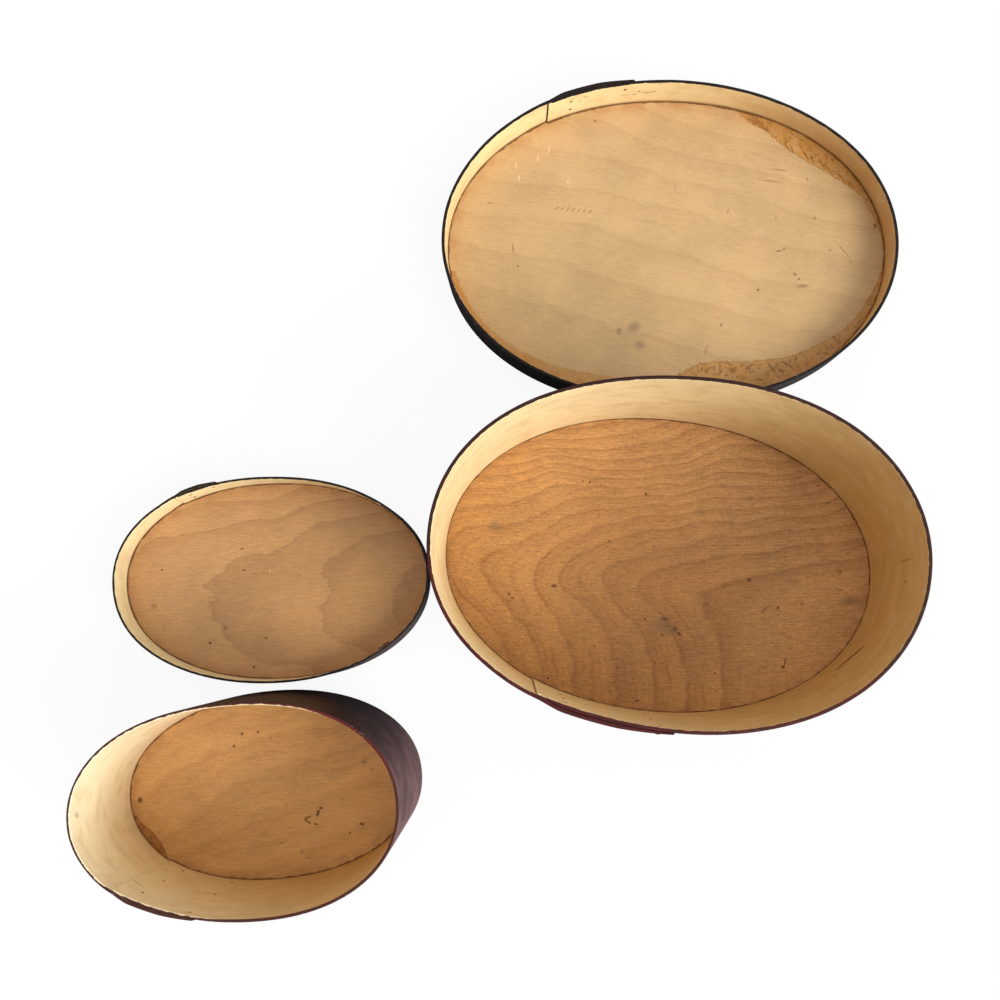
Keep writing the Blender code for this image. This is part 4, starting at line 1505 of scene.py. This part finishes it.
@dataclass
class Tub:
    """A box or a lid, open side up: its sizes, its pieces and their finishes."""
    name: str
    band: BentBand
    board: OvalBoard
    pegs: int
    place: Place
    band_finish: BandFinish
    board_finish: BoardFinish
    board_marks: tuple[Mark, ...]
    wall_marks: tuple[Mark, ...]
    paint_slot: str
    lid_tack_shares: tuple[float, float] = (0.3, 0.72)
    tack_turn: float = 1.7
    tip_inset_share: float = 0.16
    root_inset_share: float = 1.06
    tack: CopperTack = field(default_factory=CopperTack)
    peg: WoodenPeg = field(default_factory=WoodenPeg)

    def tack_spots(self) -> list[tuple[float, float]]:
        """Run and height of each tack: one at each finger's tip, then one or two at each root.

        Returns:
            One pair for each tack.
        """
        band = self.band
        tip = band.end - self.tip_inset_share * band.finger
        root = band.end - self.root_inset_share * band.finger
        middles = [(number + 0.5) * band.pitch for number in range(band.fingers)]
        tips = middles[:-1] + [band.oval.height - band.finger_tip / 2]
        roots = middles
        if band.fingers == 1:
            inside = band.oval.height - self.board.thickness
            roots = [self.board.thickness + share * inside for share in self.lid_tack_shares]
        return [(tip, height) for height in tips] + [(root, height) for height in roots]

    def peg_spots(self) -> list[float]:
        """Run of each peg, spread over the stretch that isn't lapped.

        Returns:
            One run for each peg.
        """
        band = self.band
        first = band.lap
        step = (band.girth - band.ramp_share * band.lap - first) / self.pegs
        return [first + (number + 0.5) * step for number in range(self.pegs)]

    def on_wall(self, points: np.ndarray, run: float, height: float, offset: float) -> np.ndarray:
        """Sets a small piece on the wall: its Z points out of the wall and its X along it.

        Args:
            points: the piece about its own origin.
            run: where it sits along the band.
            height: where it sits across the band.
            offset: how far outside the oval its origin lies.

        Returns:
            Places in the model.
        """
        angle = self.band.angle_at(np.array(run))
        out = np.append(self.band.oval.outward(angle, height), 0.0)
        along = np.array([-out[1], out[0], 0.0])
        foot = np.append(self.band.oval.points(angle, height), height) + out * offset
        up = np.array([0.0, 0.0, 1.0])
        return self.place.put(foot + points[:, :1] * along + points[:, 1:2] * up + points[:, 2:] * out)

    def settle(self, piece: bpy.types.Object, node: str) -> None:
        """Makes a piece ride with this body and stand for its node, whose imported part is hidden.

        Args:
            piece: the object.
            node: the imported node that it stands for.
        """
        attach(piece, self.name)
        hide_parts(node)
        LOG.info("%s: %d faces", piece.name, len(piece.data.polygons))

    def build_band(self, camera: PhotoCamera) -> None:
        """Makes the band.

        Args:
            camera: the camera that places the marks.
        """
        spots = np.array([self.band.wall_spot(mark.pixel, self.place, camera) for mark in self.wall_marks])
        material = self.band_finish.material(f"{self.name}_painted_maple", self.place, self.band,
                                             self.board.thickness, self.wall_marks, spots)
        points, faces, carried = self.band.surface()
        piece = make_piece(f"{self.name}_bent_band", self.place.put(points), faces, material, carried)
        self.settle(piece, f"{self.name}_band")

    def build_board(self, camera: PhotoCamera) -> None:
        """Makes the board.

        Args:
            camera: the camera that places the marks and growth lines.
        """
        spots = camera.to_level(tuple(mark.pixel for mark in self.board_marks), self.board.thickness)
        material = self.board_finish.material(f"{self.name}_bare_board", self.place,
                                              self.band.oval.half_length, self.board_marks, spots)
        points, faces, carried = self.board.surface(self.place, camera)
        piece = make_piece(f"{self.name}_oval_board", self.place.put(points), faces, material, carried)
        self.settle(piece, f"{self.name}_board")

    def build_tacks(self, copper: bpy.types.Material) -> None:
        """Makes the tacks.

        Args:
            copper: their material.
        """
        for number, (run, height) in enumerate(self.tack_spots(), 1):
            outer = float(self.band.inner_face(np.array(run)) + self.band.thickness(np.array(run)))
            points, faces = self.tack.surface(outer + self.band.band, self.tack_turn * number)
            placed = self.on_wall(points, run, height, outer)
            piece = make_piece(f"{self.name}_copper_tack_{number}", placed, faces, copper)
            self.settle(piece, f"{self.name}_tack_{number}")

    def build_pegs(self) -> None:
        """Makes the pegs."""
        material = peg_material(f"{self.name}_peg_end", self.band_finish.paint)
        points, faces = self.peg.surface(self.band.band, self.board.seat_gap)
        for number, run in enumerate(self.peg_spots(), 1):
            placed = self.on_wall(points, run, self.board.thickness / 2, 0.0)
            piece = make_piece(f"{self.name}_wooden_peg_{number}", placed, faces, material)
            self.settle(piece, f"{self.name}_peg_{number}")

    def build(self, camera: PhotoCamera, copper: bpy.types.Material) -> None:
        """Makes every piece.

        Args:
            camera: the camera that places the marks.
            copper: the tacks' material.
        """
        self.build_band(camera)
        self.build_board(camera)
        self.build_tacks(copper)
        self.build_pegs()


@dataclass(frozen=True)
class Studio:
    """A pale floor, one large soft lamp low at the right, and an even sky."""
    lamp_side: float = -35.0
    lamp_rise: float = 37.0
    lamp_strength: float = 2.75
    lamp_spread: float = 40.0
    sky: Colour = (0.75, 0.75, 0.75, 1.0)
    floor_size: float = 6.0
    floor_colour: Colour = (0.72, 0.72, 0.72, 1.0)
    floor_in_gloss: Colour = (0.16, 0.15, 0.15, 1.0)
    floor_whiteness: float = 0.9
    floor_glow: float = 1.02
    lamp_colour: tuple[float, float, float] = (1.0, 0.97, 0.93)

    def add_lamp(self) -> None:
        """Makes the lamp: a sun with a wide disc, so that its shadows are soft."""
        data = bpy.data.lights.new("window_light", 'SUN')
        data.energy = self.lamp_strength
        data.angle = math.radians(self.lamp_spread)
        data.color = self.lamp_colour
        lamp = bpy.data.objects.new("window_light", data)
        lamp.rotation_euler = (0.0, math.radians(90 - self.lamp_rise), math.radians(self.lamp_side))
        bpy.context.scene.collection.objects.link(lamp)

    def add_sky(self) -> None:
        """Makes the sky: even light on the object, and white where the camera sees it."""
        world = bpy.data.worlds.new("even_sky")
        world.use_nodes = True
        nodes, links = world.node_tree.nodes, world.node_tree.links
        background = nodes["Background"]
        path = nodes.new("ShaderNodeLightPath")
        mix = nodes.new("ShaderNodeMix")
        mix.data_type = 'RGBA'
        mix.inputs[6].default_value = self.sky
        mix.inputs[7].default_value = WHITE
        links.new(path.outputs["Is Camera Ray"], mix.inputs[0])
        links.new(mix.outputs[2], background.inputs["Color"])
        bpy.context.scene.world = world

    def add_floor(self) -> None:
        """Makes the floor: matt and pale, darker in a gloss, and near white to the camera.

        Its own shading shows through the white a little, so a faint shadow is left.
        """
        half = self.floor_size / 2
        corners = np.array([[-half, -half, 0.0], [half, -half, 0.0], [half, half, 0.0], [-half, half, 0.0]])
        recipe = Recipe("pale_floor")
        recipe.shader.inputs["Roughness"].default_value = 1.0
        recipe.shader.inputs["Specular IOR Level"].default_value = 0.0
        path = recipe.add("ShaderNodeLightPath", {})
        colour = recipe.mix(path.outputs["Is Glossy Ray"], self.floor_colour, self.floor_in_gloss)
        recipe.feed(recipe.shader.inputs["Base Color"], colour)
        share = recipe.times(path.outputs["Is Camera Ray"], self.floor_whiteness)
        white = recipe.add("ShaderNodeEmission", {"Color": WHITE, "Strength": self.floor_glow})
        mix = recipe.add("ShaderNodeMixShader", {0: share, 1: recipe.shader.outputs[0], 2: white.outputs[0]})
        recipe.links.new(mix.outputs[0], recipe.nodes["Material Output"].inputs["Surface"])
        floor = make_piece("pale_floor", corners, [np.array([[0, 1, 2, 3]])], recipe.material)
        floor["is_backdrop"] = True

    def build(self) -> None:
        """Makes the studio."""
        bpy.context.scene.view_settings.view_transform = 'Standard'
        self.add_lamp()
        self.add_sky()
        self.add_floor()


LARGE_BOX_GROWTH = growth_from({
    0: ((724, 692), (722, 660), (717, 628), (703, 600), (716, 588), (750, 577), (800, 567), (866, 556)),
    1: (
        (688, 694), (683, 660), (670, 628), (648, 603), (640, 586), (650, 573), (690, 563), (745, 555),
        (805, 545), (864, 537)),
    2: (
        (656, 696), (651, 655), (636, 625), (616, 603), (606, 583), (612, 567), (640, 558), (690, 546),
        (760, 537), (858, 524)),
    3: (
        (617, 692), (611, 648), (596, 615), (573, 597), (560, 577), (568, 561), (600, 545), (650, 531),
        (700, 521), (770, 517), (848, 505)),
    4: (
        (576, 690), (570, 650), (556, 618), (541, 595), (537, 568), (550, 553), (585, 534), (640, 517),
        (700, 511), (770, 507), (835, 500)),
    5: (
        (541, 668), (532, 640), (514, 612), (492, 588), (481, 567), (495, 552), (532, 536), (562, 519),
        (600, 509), (660, 505), (740, 498), (815, 492)),
    6: (
        (505, 645), (480, 612), (455, 585), (462, 531), (505, 526), (543, 514), (564, 502), (610, 499),
        (670, 496), (705, 488), (800, 483)),
    7: ((478, 505), (522, 500), (545, 490), (600, 486), (660, 483), (715, 474), (790, 474)),
    8: ((480, 488), (520, 482), (552, 471), (595, 478), (650, 477), (700, 469), (755, 460)),
    9: ((510, 475), (558, 463), (590, 468), (650, 468), (700, 457), (728, 446)),
    10: ((530, 462), (560, 456), (640, 459), (682, 453), (712, 440)),
    11: ((545, 448), (600, 450), (645, 444), (692, 430)),
    12: ((565, 440), (605, 437), (650, 428)),
})

LARGE_LID_GROWTH = growth_from({
    0: ((480, 285), (520, 300), (580, 318), (640, 335), (700, 352)),
    1: ((462, 242), (520, 255), (600, 277), (700, 302), (800, 330)),
    2: ((480, 217), (540, 219), (600, 228), (650, 248), (720, 268), (830, 292)),
    3: ((500, 180), (560, 188), (620, 196), (700, 215), (745, 236), (850, 260)),
    4: ((545, 150), (620, 162), (700, 185), (760, 200), (860, 228)),
    5: ((600, 122), (660, 148), (720, 164), (800, 183), (855, 196)),
})

SMALL_BOX_GROWTH = growth_from({
    0: ((262, 872), (300, 858), (345, 836), (390, 812)),
    1: ((180, 855), (225, 836), (270, 818), (325, 797), (385, 780)),
    2: ((165, 838), (205, 815), (240, 786), (285, 768), (330, 755), (372, 742)),
    3: ((140, 800), (172, 776), (205, 758), (250, 743), (300, 732), (345, 722)),
    4: ((140, 765), (165, 742), (205, 724), (260, 714)),
})

SMALL_LID_GROWTH = growth_from({
    0: ((395, 618), (393, 600), (397, 586), (415, 568)),
    1: (
        (362, 647), (345, 643), (330, 635), (322, 622), (322, 608), (327, 590), (323, 571), (335, 558),
        (350, 548), (368, 538), (392, 532)),
    2: (
        (310, 667), (262, 661), (240, 650), (226, 632), (216, 615), (217, 600), (208, 583), (225, 569),
        (245, 557), (275, 553), (297, 538), (322, 522), (350, 518), (382, 512)),
    2.7: ((175, 650), (140, 600)),
    3: ((158, 538), (200, 532), (230, 526), (255, 520), (283, 517), (303, 507), (330, 501)),
    4: ((170, 513), (205, 503), (240, 502), (270, 500), (290, 492)),
})

LARGE_LID_STAINS = (
    GlueStain(((738, 113), (750, 124), (765, 130), (776, 141), (790, 151), (803, 160), (820, 169), (835, 178),
               (850, 188), (862, 197), (868, 208), (875, 220), (880, 232), (884, 250))),
    GlueStain(((455, 270), (463, 292), (471, 306), (487, 326), (513, 346), (538, 359), (563, 368), (588, 373),
               (613, 377))),
    GlueStain(((678, 374), (700, 363), (720, 361), (760, 360), (790, 356), (820, 343), (850, 324), (866, 302),
               (878, 280), (883, 262))),
)

SMALL_BOX_STAINS = (
    GlueStain(((137, 815), (143, 824), (152, 831), (161, 842), (166, 852), (170, 862))),
)

LARGE_BOX_MARKS = marks_from({
    MarkKind.PIT: (
        (554, 586, 3.2, 2.0), (509, 594, 1.8, 1.3), (512, 598, 2.0, 1.2), (583, 481, 1.1, 1.0),
        (590, 482, 1.3, 1.1), (646, 494, 1.3, 2.2, 30), (675, 629, 2.6, 2.4), (679, 634, 3.0, 2.0, -40),
        (665, 619, 4.2, 1.3), (662, 635, 1.6, 1.3), (645, 619, 1.4, 1.6), (654, 546, 1.2, 1.0),
        (609, 541, 1.6, 1.0), (749, 580, 2.4, 1.8), (818, 486, 1.4, 1.3), (778, 608, 1.8, 1.5),
        (785, 662, 1.0, 4.8, -8), (783, 667, 2.2, 1.6), (715, 673, 1.3, 1.2), (548, 678, 1.5, 1.2),
        (594, 646, 1.4, 1.0), (637, 701, 2.4, 1.2)),
    MarkKind.FAINT: (
        (791, 625, 3.2, 0.8), (788, 637, 5.0, 0.7), (802, 604, 1.6, 2.6), (828, 503, 2.6, 1.2, 20),
        (840, 572, 2.2, 3.0), (610, 692, 1.5, 1.5), (706, 604, 3.0, 2.4), (617, 667, 1.2, 1.6),
        (862, 606, 2.0, 1.0), (840, 590, 3.0, 1.2), (765, 609, 6.0, 1.2, 45), (704, 702, 1.6, 1.0)),
    MarkKind.SMUDGE: ((495, 526, 7.0, 6.0), (851, 601, 12.0, 6.0, 10), (664, 626, 12.0, 9.0, -30)),
})

LARGE_LID_MARKS = marks_from({
    MarkKind.OLIVE: (
        (779, 251, 4.2, 0.8, 8), (784, 249, 1.4, 0.8, 50), (795, 274, 2.2, 1.4, -40), (799, 279, 1.5, 1.1),
        (758, 290, 1.8, 1.6, 30), (843, 250, 12.0, 0.45, -47), (830, 250, 1.2, 1.1),
        (875, 226, 1.6, 2.8, 20), (807, 179, 1.1, 1.0), (595, 121, 1.6, 1.2), (518, 266, 1.2, 1.1),
        (513, 248, 0.6, 5.6, 4), (721, 325, 1.3, 1.6)),
    MarkKind.FAINT: (
        (803, 286, 6.5, 2.0, 2), (706, 350, 0.6, 6.0, -22), (776, 218, 1.4, 1.2), (815, 218, 1.6, 1.2, 20),
        (728, 211, 0.8, 2.6, -10), (780, 170, 9.0, 0.8, -6), (770, 181, 12.0, 0.8, -8),
        (675, 188, 0.6, 3.5), (490, 203, 3.0, 1.0), (850, 262, 4.0, 0.5, -47),
        *((557 + 5.5 * step, 208 + 0.6 * step, 3.0, 0.9, 45) for step in range(7)), (674, 232, 1.0, 0.9)),
    MarkKind.SMUDGE: ((634, 327, 7.0, 5.5, 20), (640, 345, 5.5, 5.0), (619, 331, 3.0, 4.0)),
    MarkKind.STREAK: (
        (786, 145, 1.2, 6.5, 28), (792, 149, 1.0, 6.0, 22), (806, 156, 1.3, 7.0, 30),
        (812, 160, 0.9, 6.0, 26), (822, 164, 1.5, 7.5, 34), (829, 170, 1.2, 6.5, 40),
        (840, 176, 1.3, 7.0, 44), (851, 184, 1.2, 5.5, 48), (765, 129, 8.0, 2.2, -28),
        (757, 122, 9.0, 2.6, -20), (720, 367, 0.9, 9.0), (733, 370, 5.0, 3.2), (748, 368, 3.6, 3.0),
        (772, 368, 1.6, 7.0, 34), (790, 366, 7.0, 1.6, -38), (836, 340, 1.2, 5.0, 40)),
    MarkKind.PALE: (
        (549, 150, 0.8, 5.0, -8), (538, 158, 0.7, 4.0, -12), (516, 166, 0.7, 5.0, 12),
        (519, 178, 0.6, 4.0), (568, 182, 1.6, 1.0)),
})

SMALL_BOX_MARKS = marks_from({
    MarkKind.PIT: (
        (140, 800, 2.6, 3.4), (309, 817, 3.4, 1.0, 24), (305.8, 819.4, 1.3, 2.6),
        (308.6, 822, 3.2, 1.0, -32), (318, 813, 1.7, 4.0, -22), (321, 808, 2.2, 1.4),
        (316, 824, 2.4, 0.8, -30), (362, 824, 3.0, 1.5, -14), (350, 833, 1.2, 1.1), (242, 734, 1.5, 1.9),
        (258, 732, 1.6, 1.3), (271, 738, 1.3, 0.9), (234, 746, 1.6, 2.0)),
    MarkKind.FAINT: (
        (136, 803, 1.6, 1.0, -30), (364, 762, 3.4, 2.6), (372, 770, 1.6, 1.4), (343, 799, 2.0, 0.8),
        (281, 843, 5.0, 1.0, 8), (302, 852, 1.4, 2.4)),
})

SMALL_LID_MARKS = marks_from({
    MarkKind.PIT: (
        (210, 643, 1.9, 1.7), (254, 667, 1.6, 1.5), (266, 638, 2.2, 0.9), (244, 570, 2.2, 1.1),
        (242, 549, 2.4, 0.8), (162, 570, 1.6, 1.1)),
    MarkKind.FAINT: (
        (154, 564, 1.6, 0.9), (264, 573, 1.8, 0.8), (300, 575, 3.2, 0.7), (154, 606, 3.4, 2.4),
        (255, 573, 2.4, 0.7), (327, 591, 1.2, 1.0), (225, 628, 3.0, 2.6)),
    MarkKind.PALE: ((270, 571, 1.0, 0.8), (403, 627, 1.0, 0.8)),
    MarkKind.PAINT: ((386, 645, 5.5, 2.4, 38), (381, 648, 3.0, 1.6, 20)),
})

LARGE_BOX_WALL_MARKS = marks_from({
    MarkKind.FAINT: (
        (698, 413, 2.4, 1.6, 30), (655, 397, 3.4, 0.7), (672, 401, 3.0, 0.6), (905, 582, 1.6, 3.4),
        (906, 560, 1.0, 16.0), (700, 408, 1.6, 0.8)),
    MarkKind.PIT: ((852, 656, 20.0, 3.2, 34), (840, 668, 6.0, 2.4, 34), (835, 676, 3.0, 2.0, 20)),
})

LARGE_LID_WALL_MARKS = marks_from({
    MarkKind.STREAK: (
        (627, 95, 6.0, 0.6), (634, 94, 2.4, 1.1), (639, 91.5, 2.0, 1.3), (647, 92.8, 5.0, 0.6),
        (654, 91.5, 3.2, 1.1)),
    MarkKind.FAINT: ((572, 99, 3.0, 0.9, 20), (586, 97, 4.0, 0.8, -30), (580, 101, 2.0, 0.8)),
})

SMALL_BOX_WALL_MARKS = marks_from({
    MarkKind.SMUDGE: ((77, 815, 3.0, 5.0, 20),),
    MarkKind.FAINT: ((135, 881, 16.0, 1.0, 24), (205, 893, 12.0, 1.0, -24)),
})

SMALL_LID_WALL_MARKS = marks_from({
    MarkKind.FAINT: ((175, 497, 1.4, 0.8),),
})

# Each band finish also holds painted light: a painted sheen on one side of the outside, and painted shade
# inside, on one side and low down.
LARGE_BOX_BAND = BandFinish(
    wood=srgb(246, 226, 178), amber_and_shade=srgb(184, 136, 66), paint=srgb(30, 12, 10), worn_paint=srgb(56, 20, 18),
    bare_edge=srgb(136, 84, 42), seam=srgb(110, 66, 30), seam_strength=0.7, shaded_side=-20.0,
    side_shade_strength=0.8, rim_paint=srgb(48, 20, 14), painted_sheen=srgb(92, 58, 56), rim_red=srgb(84, 16, 18),
    rim_red_side=-105.0, rim_red_strength=0.8, low_shade=0.05, streak_depth=0.015)
SMALL_BOX_BAND = BandFinish(
    wood=srgb(254, 242, 206), amber_and_shade=srgb(194, 147, 80), paint=srgb(22, 6, 4), worn_paint=srgb(60, 18, 12),
    bare_edge=srgb(140, 86, 40), seam=srgb(150, 100, 48), seam_strength=0.3, shaded_side=-20.0,
    side_shade_strength=0.85, rim_paint=srgb(66, 26, 18), painted_sheen=srgb(138, 104, 107), sheen_and_reach_side=-26.0,
    sheen_from=0.25, rim_red=srgb(92, 8, 10), rim_red_side=60.0, rim_red_from=0.6, rim_red_strength=0.85,
    rim_reach=0.7 * MM, foot_dirt=1.8 * MM, dust=0.6, side_shade_from=-1.3, specular=0.3)
LARGE_LID_BAND = BandFinish(
    wood=srgb(252, 228, 172), amber_and_shade=srgb(192, 140, 78), paint=srgb(10, 8, 8), worn_paint=srgb(24, 18, 18),
    bare_edge=srgb(116, 68, 22), seam=srgb(84, 44, 10), seam_strength=1.0, shaded_side=-25.0,
    side_shade_strength=0.8, rim_paint=srgb(20, 12, 8), painted_sheen=srgb(84, 78, 80), sheen_and_reach_side=-50.0,
    foot_dirt=2.0 * MM)
SMALL_LID_BAND = BandFinish(
    wood=srgb(255, 238, 188), amber_and_shade=srgb(204, 148, 80), paint=srgb(12, 7, 8), worn_paint=srgb(30, 16, 17),
    bare_edge=srgb(120, 70, 34), seam=srgb(110, 66, 30), seam_strength=0.5, shaded_side=-20.0,
    side_shade_strength=0.7, rim_paint=srgb(32, 16, 12), painted_sheen=srgb(100, 92, 96), sheen_and_reach_side=-42.0)


# Each board also turns lighter or darker towards one side, as painted light and shade.
LARGE_BOX_BOARD = BoardFinish(
    light=srgb(190, 138, 76), dark=srgb(134, 82, 36), painted_side_shading=srgb(206, 158, 102), line_strength=0.48,
    line_sharpness=0.13, half_strength=0.3, fade_strength=0.34, fine_strength=0.24, wander=0.3,
    shading_side=32.0, side_shading_strength=0.95, fibre_turn=6.0, texture=2.0, core_strength=0.55)
LARGE_LID_BOARD = BoardFinish(
    light=srgb(203, 166, 115), dark=srgb(164, 124, 76), painted_side_shading=srgb(202, 165, 117), line_strength=0.22,
    line_sharpness=0.1, half_strength=0.15, fade_strength=0.2, fine_strength=0.12, wander=0.3,
    shading_side=20.0, side_shading_strength=0.6, fibre_turn=-6.0, texture=0.65, stain=srgb(190, 134, 56),
    joint=srgb(118, 70, 14), joint_width=0.7 * MM, near_wall_colour=srgb(182, 122, 62), near_wall_strength=0.5,
    near_wall_width=9 * MM)
SMALL_BOX_BOARD = BoardFinish(
    light=srgb(202, 154, 96), dark=srgb(150, 98, 48), painted_side_shading=srgb(226, 178, 112), line_strength=0.2,
    line_sharpness=0.25, half_strength=0.2, fade_strength=0.22, fine_strength=0.14, wander=0.5,
    shading_side=-30.0, side_shading_strength=0.9, fibre_turn=-6.0, texture=1.15, stain=srgb(150, 92, 36),
    joint=srgb(120, 68, 16), joint_width=0.8 * MM, stain_ragged=1.4 * MM, crust_side=180.0)
SMALL_LID_BOARD = BoardFinish(
    light=srgb(196, 147, 94), dark=srgb(132, 88, 48), painted_side_shading=srgb(176, 128, 74), line_strength=0.42,
    line_sharpness=0.045, half_strength=0.08, fade_strength=0.3, fine_strength=0.1, wander=0.3,
    shading_side=-20.0, side_shading_strength=0.7, fibre_turn=0.0, texture=1.15)

# How far each rim strays from its oval, in mm at even steps of the angle
LARGE_BOX_STRAY = (-0.06, 0.07, 0.29, 0.67, 0.47, -0.09, -0.59, -0.68, 0.04, 0.72, 0.69, 0.23,
                   -0.01, 0.0, 0.09, -0.15, -1.32, -2.21, -1.57, -0.7, -0.03, 0.3, -0.03, -0.23)
LARGE_LID_STRAY = (0.42, 0.26, 0.08, -0.03, 0.05, 0.52, 0.79, 0.36, 0.06, 0.15, -0.13, 0.2,
                   0.75, 0.62, 0.04, -0.14, -0.31, -0.21, -0.13, -0.13, -0.2, -0.21, -0.09, 0.16)
SMALL_BOX_STRAY = (-0.11, -0.2, -0.07, 0.2, 0.21, -0.2, -0.41, -0.26, 0.08, 0.24, -0.02, -0.12,
                   0.06, 0.09, 0.19, -0.23, -0.91, -0.41, 0.0, 0.24, 0.44, 0.36, 0.13, 0.0)
SMALL_LID_STRAY = (-0.69, -0.59, -0.69, -0.49, 0.09, 0.34, 0.41, 0.41, 0.26, 0.36, 0.13, 0.07,
                   0.1, 0.16, 0.34, 0.26, 0.19, 0.32, 0.49, 0.22, -0.53, -1.1, -1.31, -1.05)


def describe_tubs(middle: Place) -> list[Tub]:
    """The four pieces, with the sizes that each shares with its partner.

    Args:
        middle: where the large box stands.

    Returns:
        Large box, large lid, small box and small lid.
    """
    large_length, large_width, large_fullness, large_board = 240.0 * MM, 166.1 * MM, 2.08, 6.1 * MM
    small_length, small_width, small_fullness, small_board = 165.5 * MM, 106.1 * MM, 2.12, 5.7 * MM
    large_lid_thick, large_clearance = 1.8 * MM, 1.6 * MM
    small_lid_thick, small_clearance = 1.4 * MM, 1.5 * MM
    large_grow = large_lid_thick + large_clearance
    small_grow = small_lid_thick + small_clearance

    large_box_oval = SprungOval(
        large_length / 2, large_width / 2, large_fullness, height=95.9 * MM, lengthened=0.0,
        widened=5.7 * MM, twist=1.44, egg=0.0099, stray=LARGE_BOX_STRAY)
    large_lid_oval = SprungOval(
        large_length / 2 + large_grow, large_width / 2 + large_grow, large_fullness, height=24.5 * MM,
        lengthened=-0.6 * MM, widened=1.9 * MM, twist=-0.52, egg=-0.0048, stray=LARGE_LID_STRAY)
    small_box_oval = SprungOval(
        small_length / 2, small_width / 2, small_fullness, height=91.0 * MM, lengthened=-4.1 * MM,
        widened=-0.2 * MM, twist=-3.14, egg=0.0409, stray=SMALL_BOX_STRAY)
    small_lid_oval = SprungOval(
        small_length / 2 + small_grow, small_width / 2 + small_grow, small_fullness, height=21.1 * MM,
        lengthened=3.2 * MM, widened=0.3 * MM, twist=-0.2, egg=-0.0174, stray=SMALL_LID_STRAY)

    large_box_band = BentBand(large_box_oval, band=2.0 * MM, lap=70.0 * MM, finger=52.0 * MM, fingers=4,
                              seam=-121.0, sense=1, painted_rim=1.65 * MM)
    large_lid_band = BentBand(large_lid_oval, band=large_lid_thick, lap=50.0 * MM, finger=34.0 * MM,
                              fingers=1, seam=123.8, sense=-1, painted_rim=1.6 * MM)
    small_box_band = BentBand(small_box_oval, band=1.6 * MM, lap=44.0 * MM, finger=32.0 * MM, fingers=3,
                              seam=-137.8, sense=1, painted_rim=1.0 * MM)
    small_lid_band = BentBand(small_lid_oval, band=small_lid_thick, lap=24.0 * MM, finger=15.0 * MM,
                              fingers=1, seam=125.6, sense=-1, painted_rim=1.15 * MM)

    large_gap, pair_gap, small_gap = 5.3 * MM, 6.7 * MM, 5.9 * MM
    large_lid_shift, small_box_shift, small_lid_shift = 5.1 * MM, -1.4 * MM, -8.6 * MM
    beyond = large_box_oval.half_width + large_lid_oval.half_width + large_gap
    left = large_box_oval.half_length + small_lid_oval.half_length + pair_gap
    nearer = small_lid_oval.half_width + small_box_oval.half_width + small_gap
    large_box_place = Place(middle.x, middle.y, -6.41)
    large_lid_place = Place(middle.x + large_lid_shift, middle.y + beyond, -2.04)
    small_box_place = Place(middle.x + small_box_shift - left, middle.y + small_lid_shift - nearer, 6.35)
    small_lid_place = Place(middle.x - left, middle.y + small_lid_shift, 1.96)

    large_box_board = OvalBoard(large_box_band, large_board, LARGE_BOX_GROWTH)
    large_lid_board = OvalBoard(large_lid_band, large_board, LARGE_LID_GROWTH, LARGE_LID_STAINS)
    small_box_board = OvalBoard(small_box_band, small_board, SMALL_BOX_GROWTH, SMALL_BOX_STAINS)
    small_lid_board = OvalBoard(small_lid_band, small_board, SMALL_LID_GROWTH)
    large_pegs, small_pegs = 9, 6
    return [
        Tub("large_box", large_box_band, large_box_board, large_pegs, large_box_place, LARGE_BOX_BAND,
            LARGE_BOX_BOARD, LARGE_BOX_MARKS, LARGE_BOX_WALL_MARKS, "box_paint"),
        Tub("large_lid", large_lid_band, large_lid_board, large_pegs, large_lid_place, LARGE_LID_BAND,
            LARGE_LID_BOARD, LARGE_LID_MARKS, LARGE_LID_WALL_MARKS, "lid_paint"),
        Tub("small_box", small_box_band, small_box_board, small_pegs, small_box_place, SMALL_BOX_BAND,
            SMALL_BOX_BOARD, SMALL_BOX_MARKS, SMALL_BOX_WALL_MARKS, "box_paint"),
        Tub("small_lid", small_lid_band, small_lid_board, small_pegs, small_lid_place, SMALL_LID_BAND,
            SMALL_LID_BOARD, SMALL_LID_MARKS, SMALL_LID_WALL_MARKS, "lid_paint"),
    ]


def main() -> None:
    """Loads the frame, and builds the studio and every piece."""
    logging.basicConfig(level=logging.INFO, format="%(message)s")
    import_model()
    low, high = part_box("large_box_board")
    middle = Place((low.x + high.x) / 2, (low.y + high.y) / 2, 0.0)
    camera = PhotoCamera((middle.x, middle.y))
    camera.add()
    Studio().build()
    copper = copper_material()
    for tub in describe_tubs(middle):
        tub.build(camera, copper)
    low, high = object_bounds()


if __name__ == "__main__":
    main()
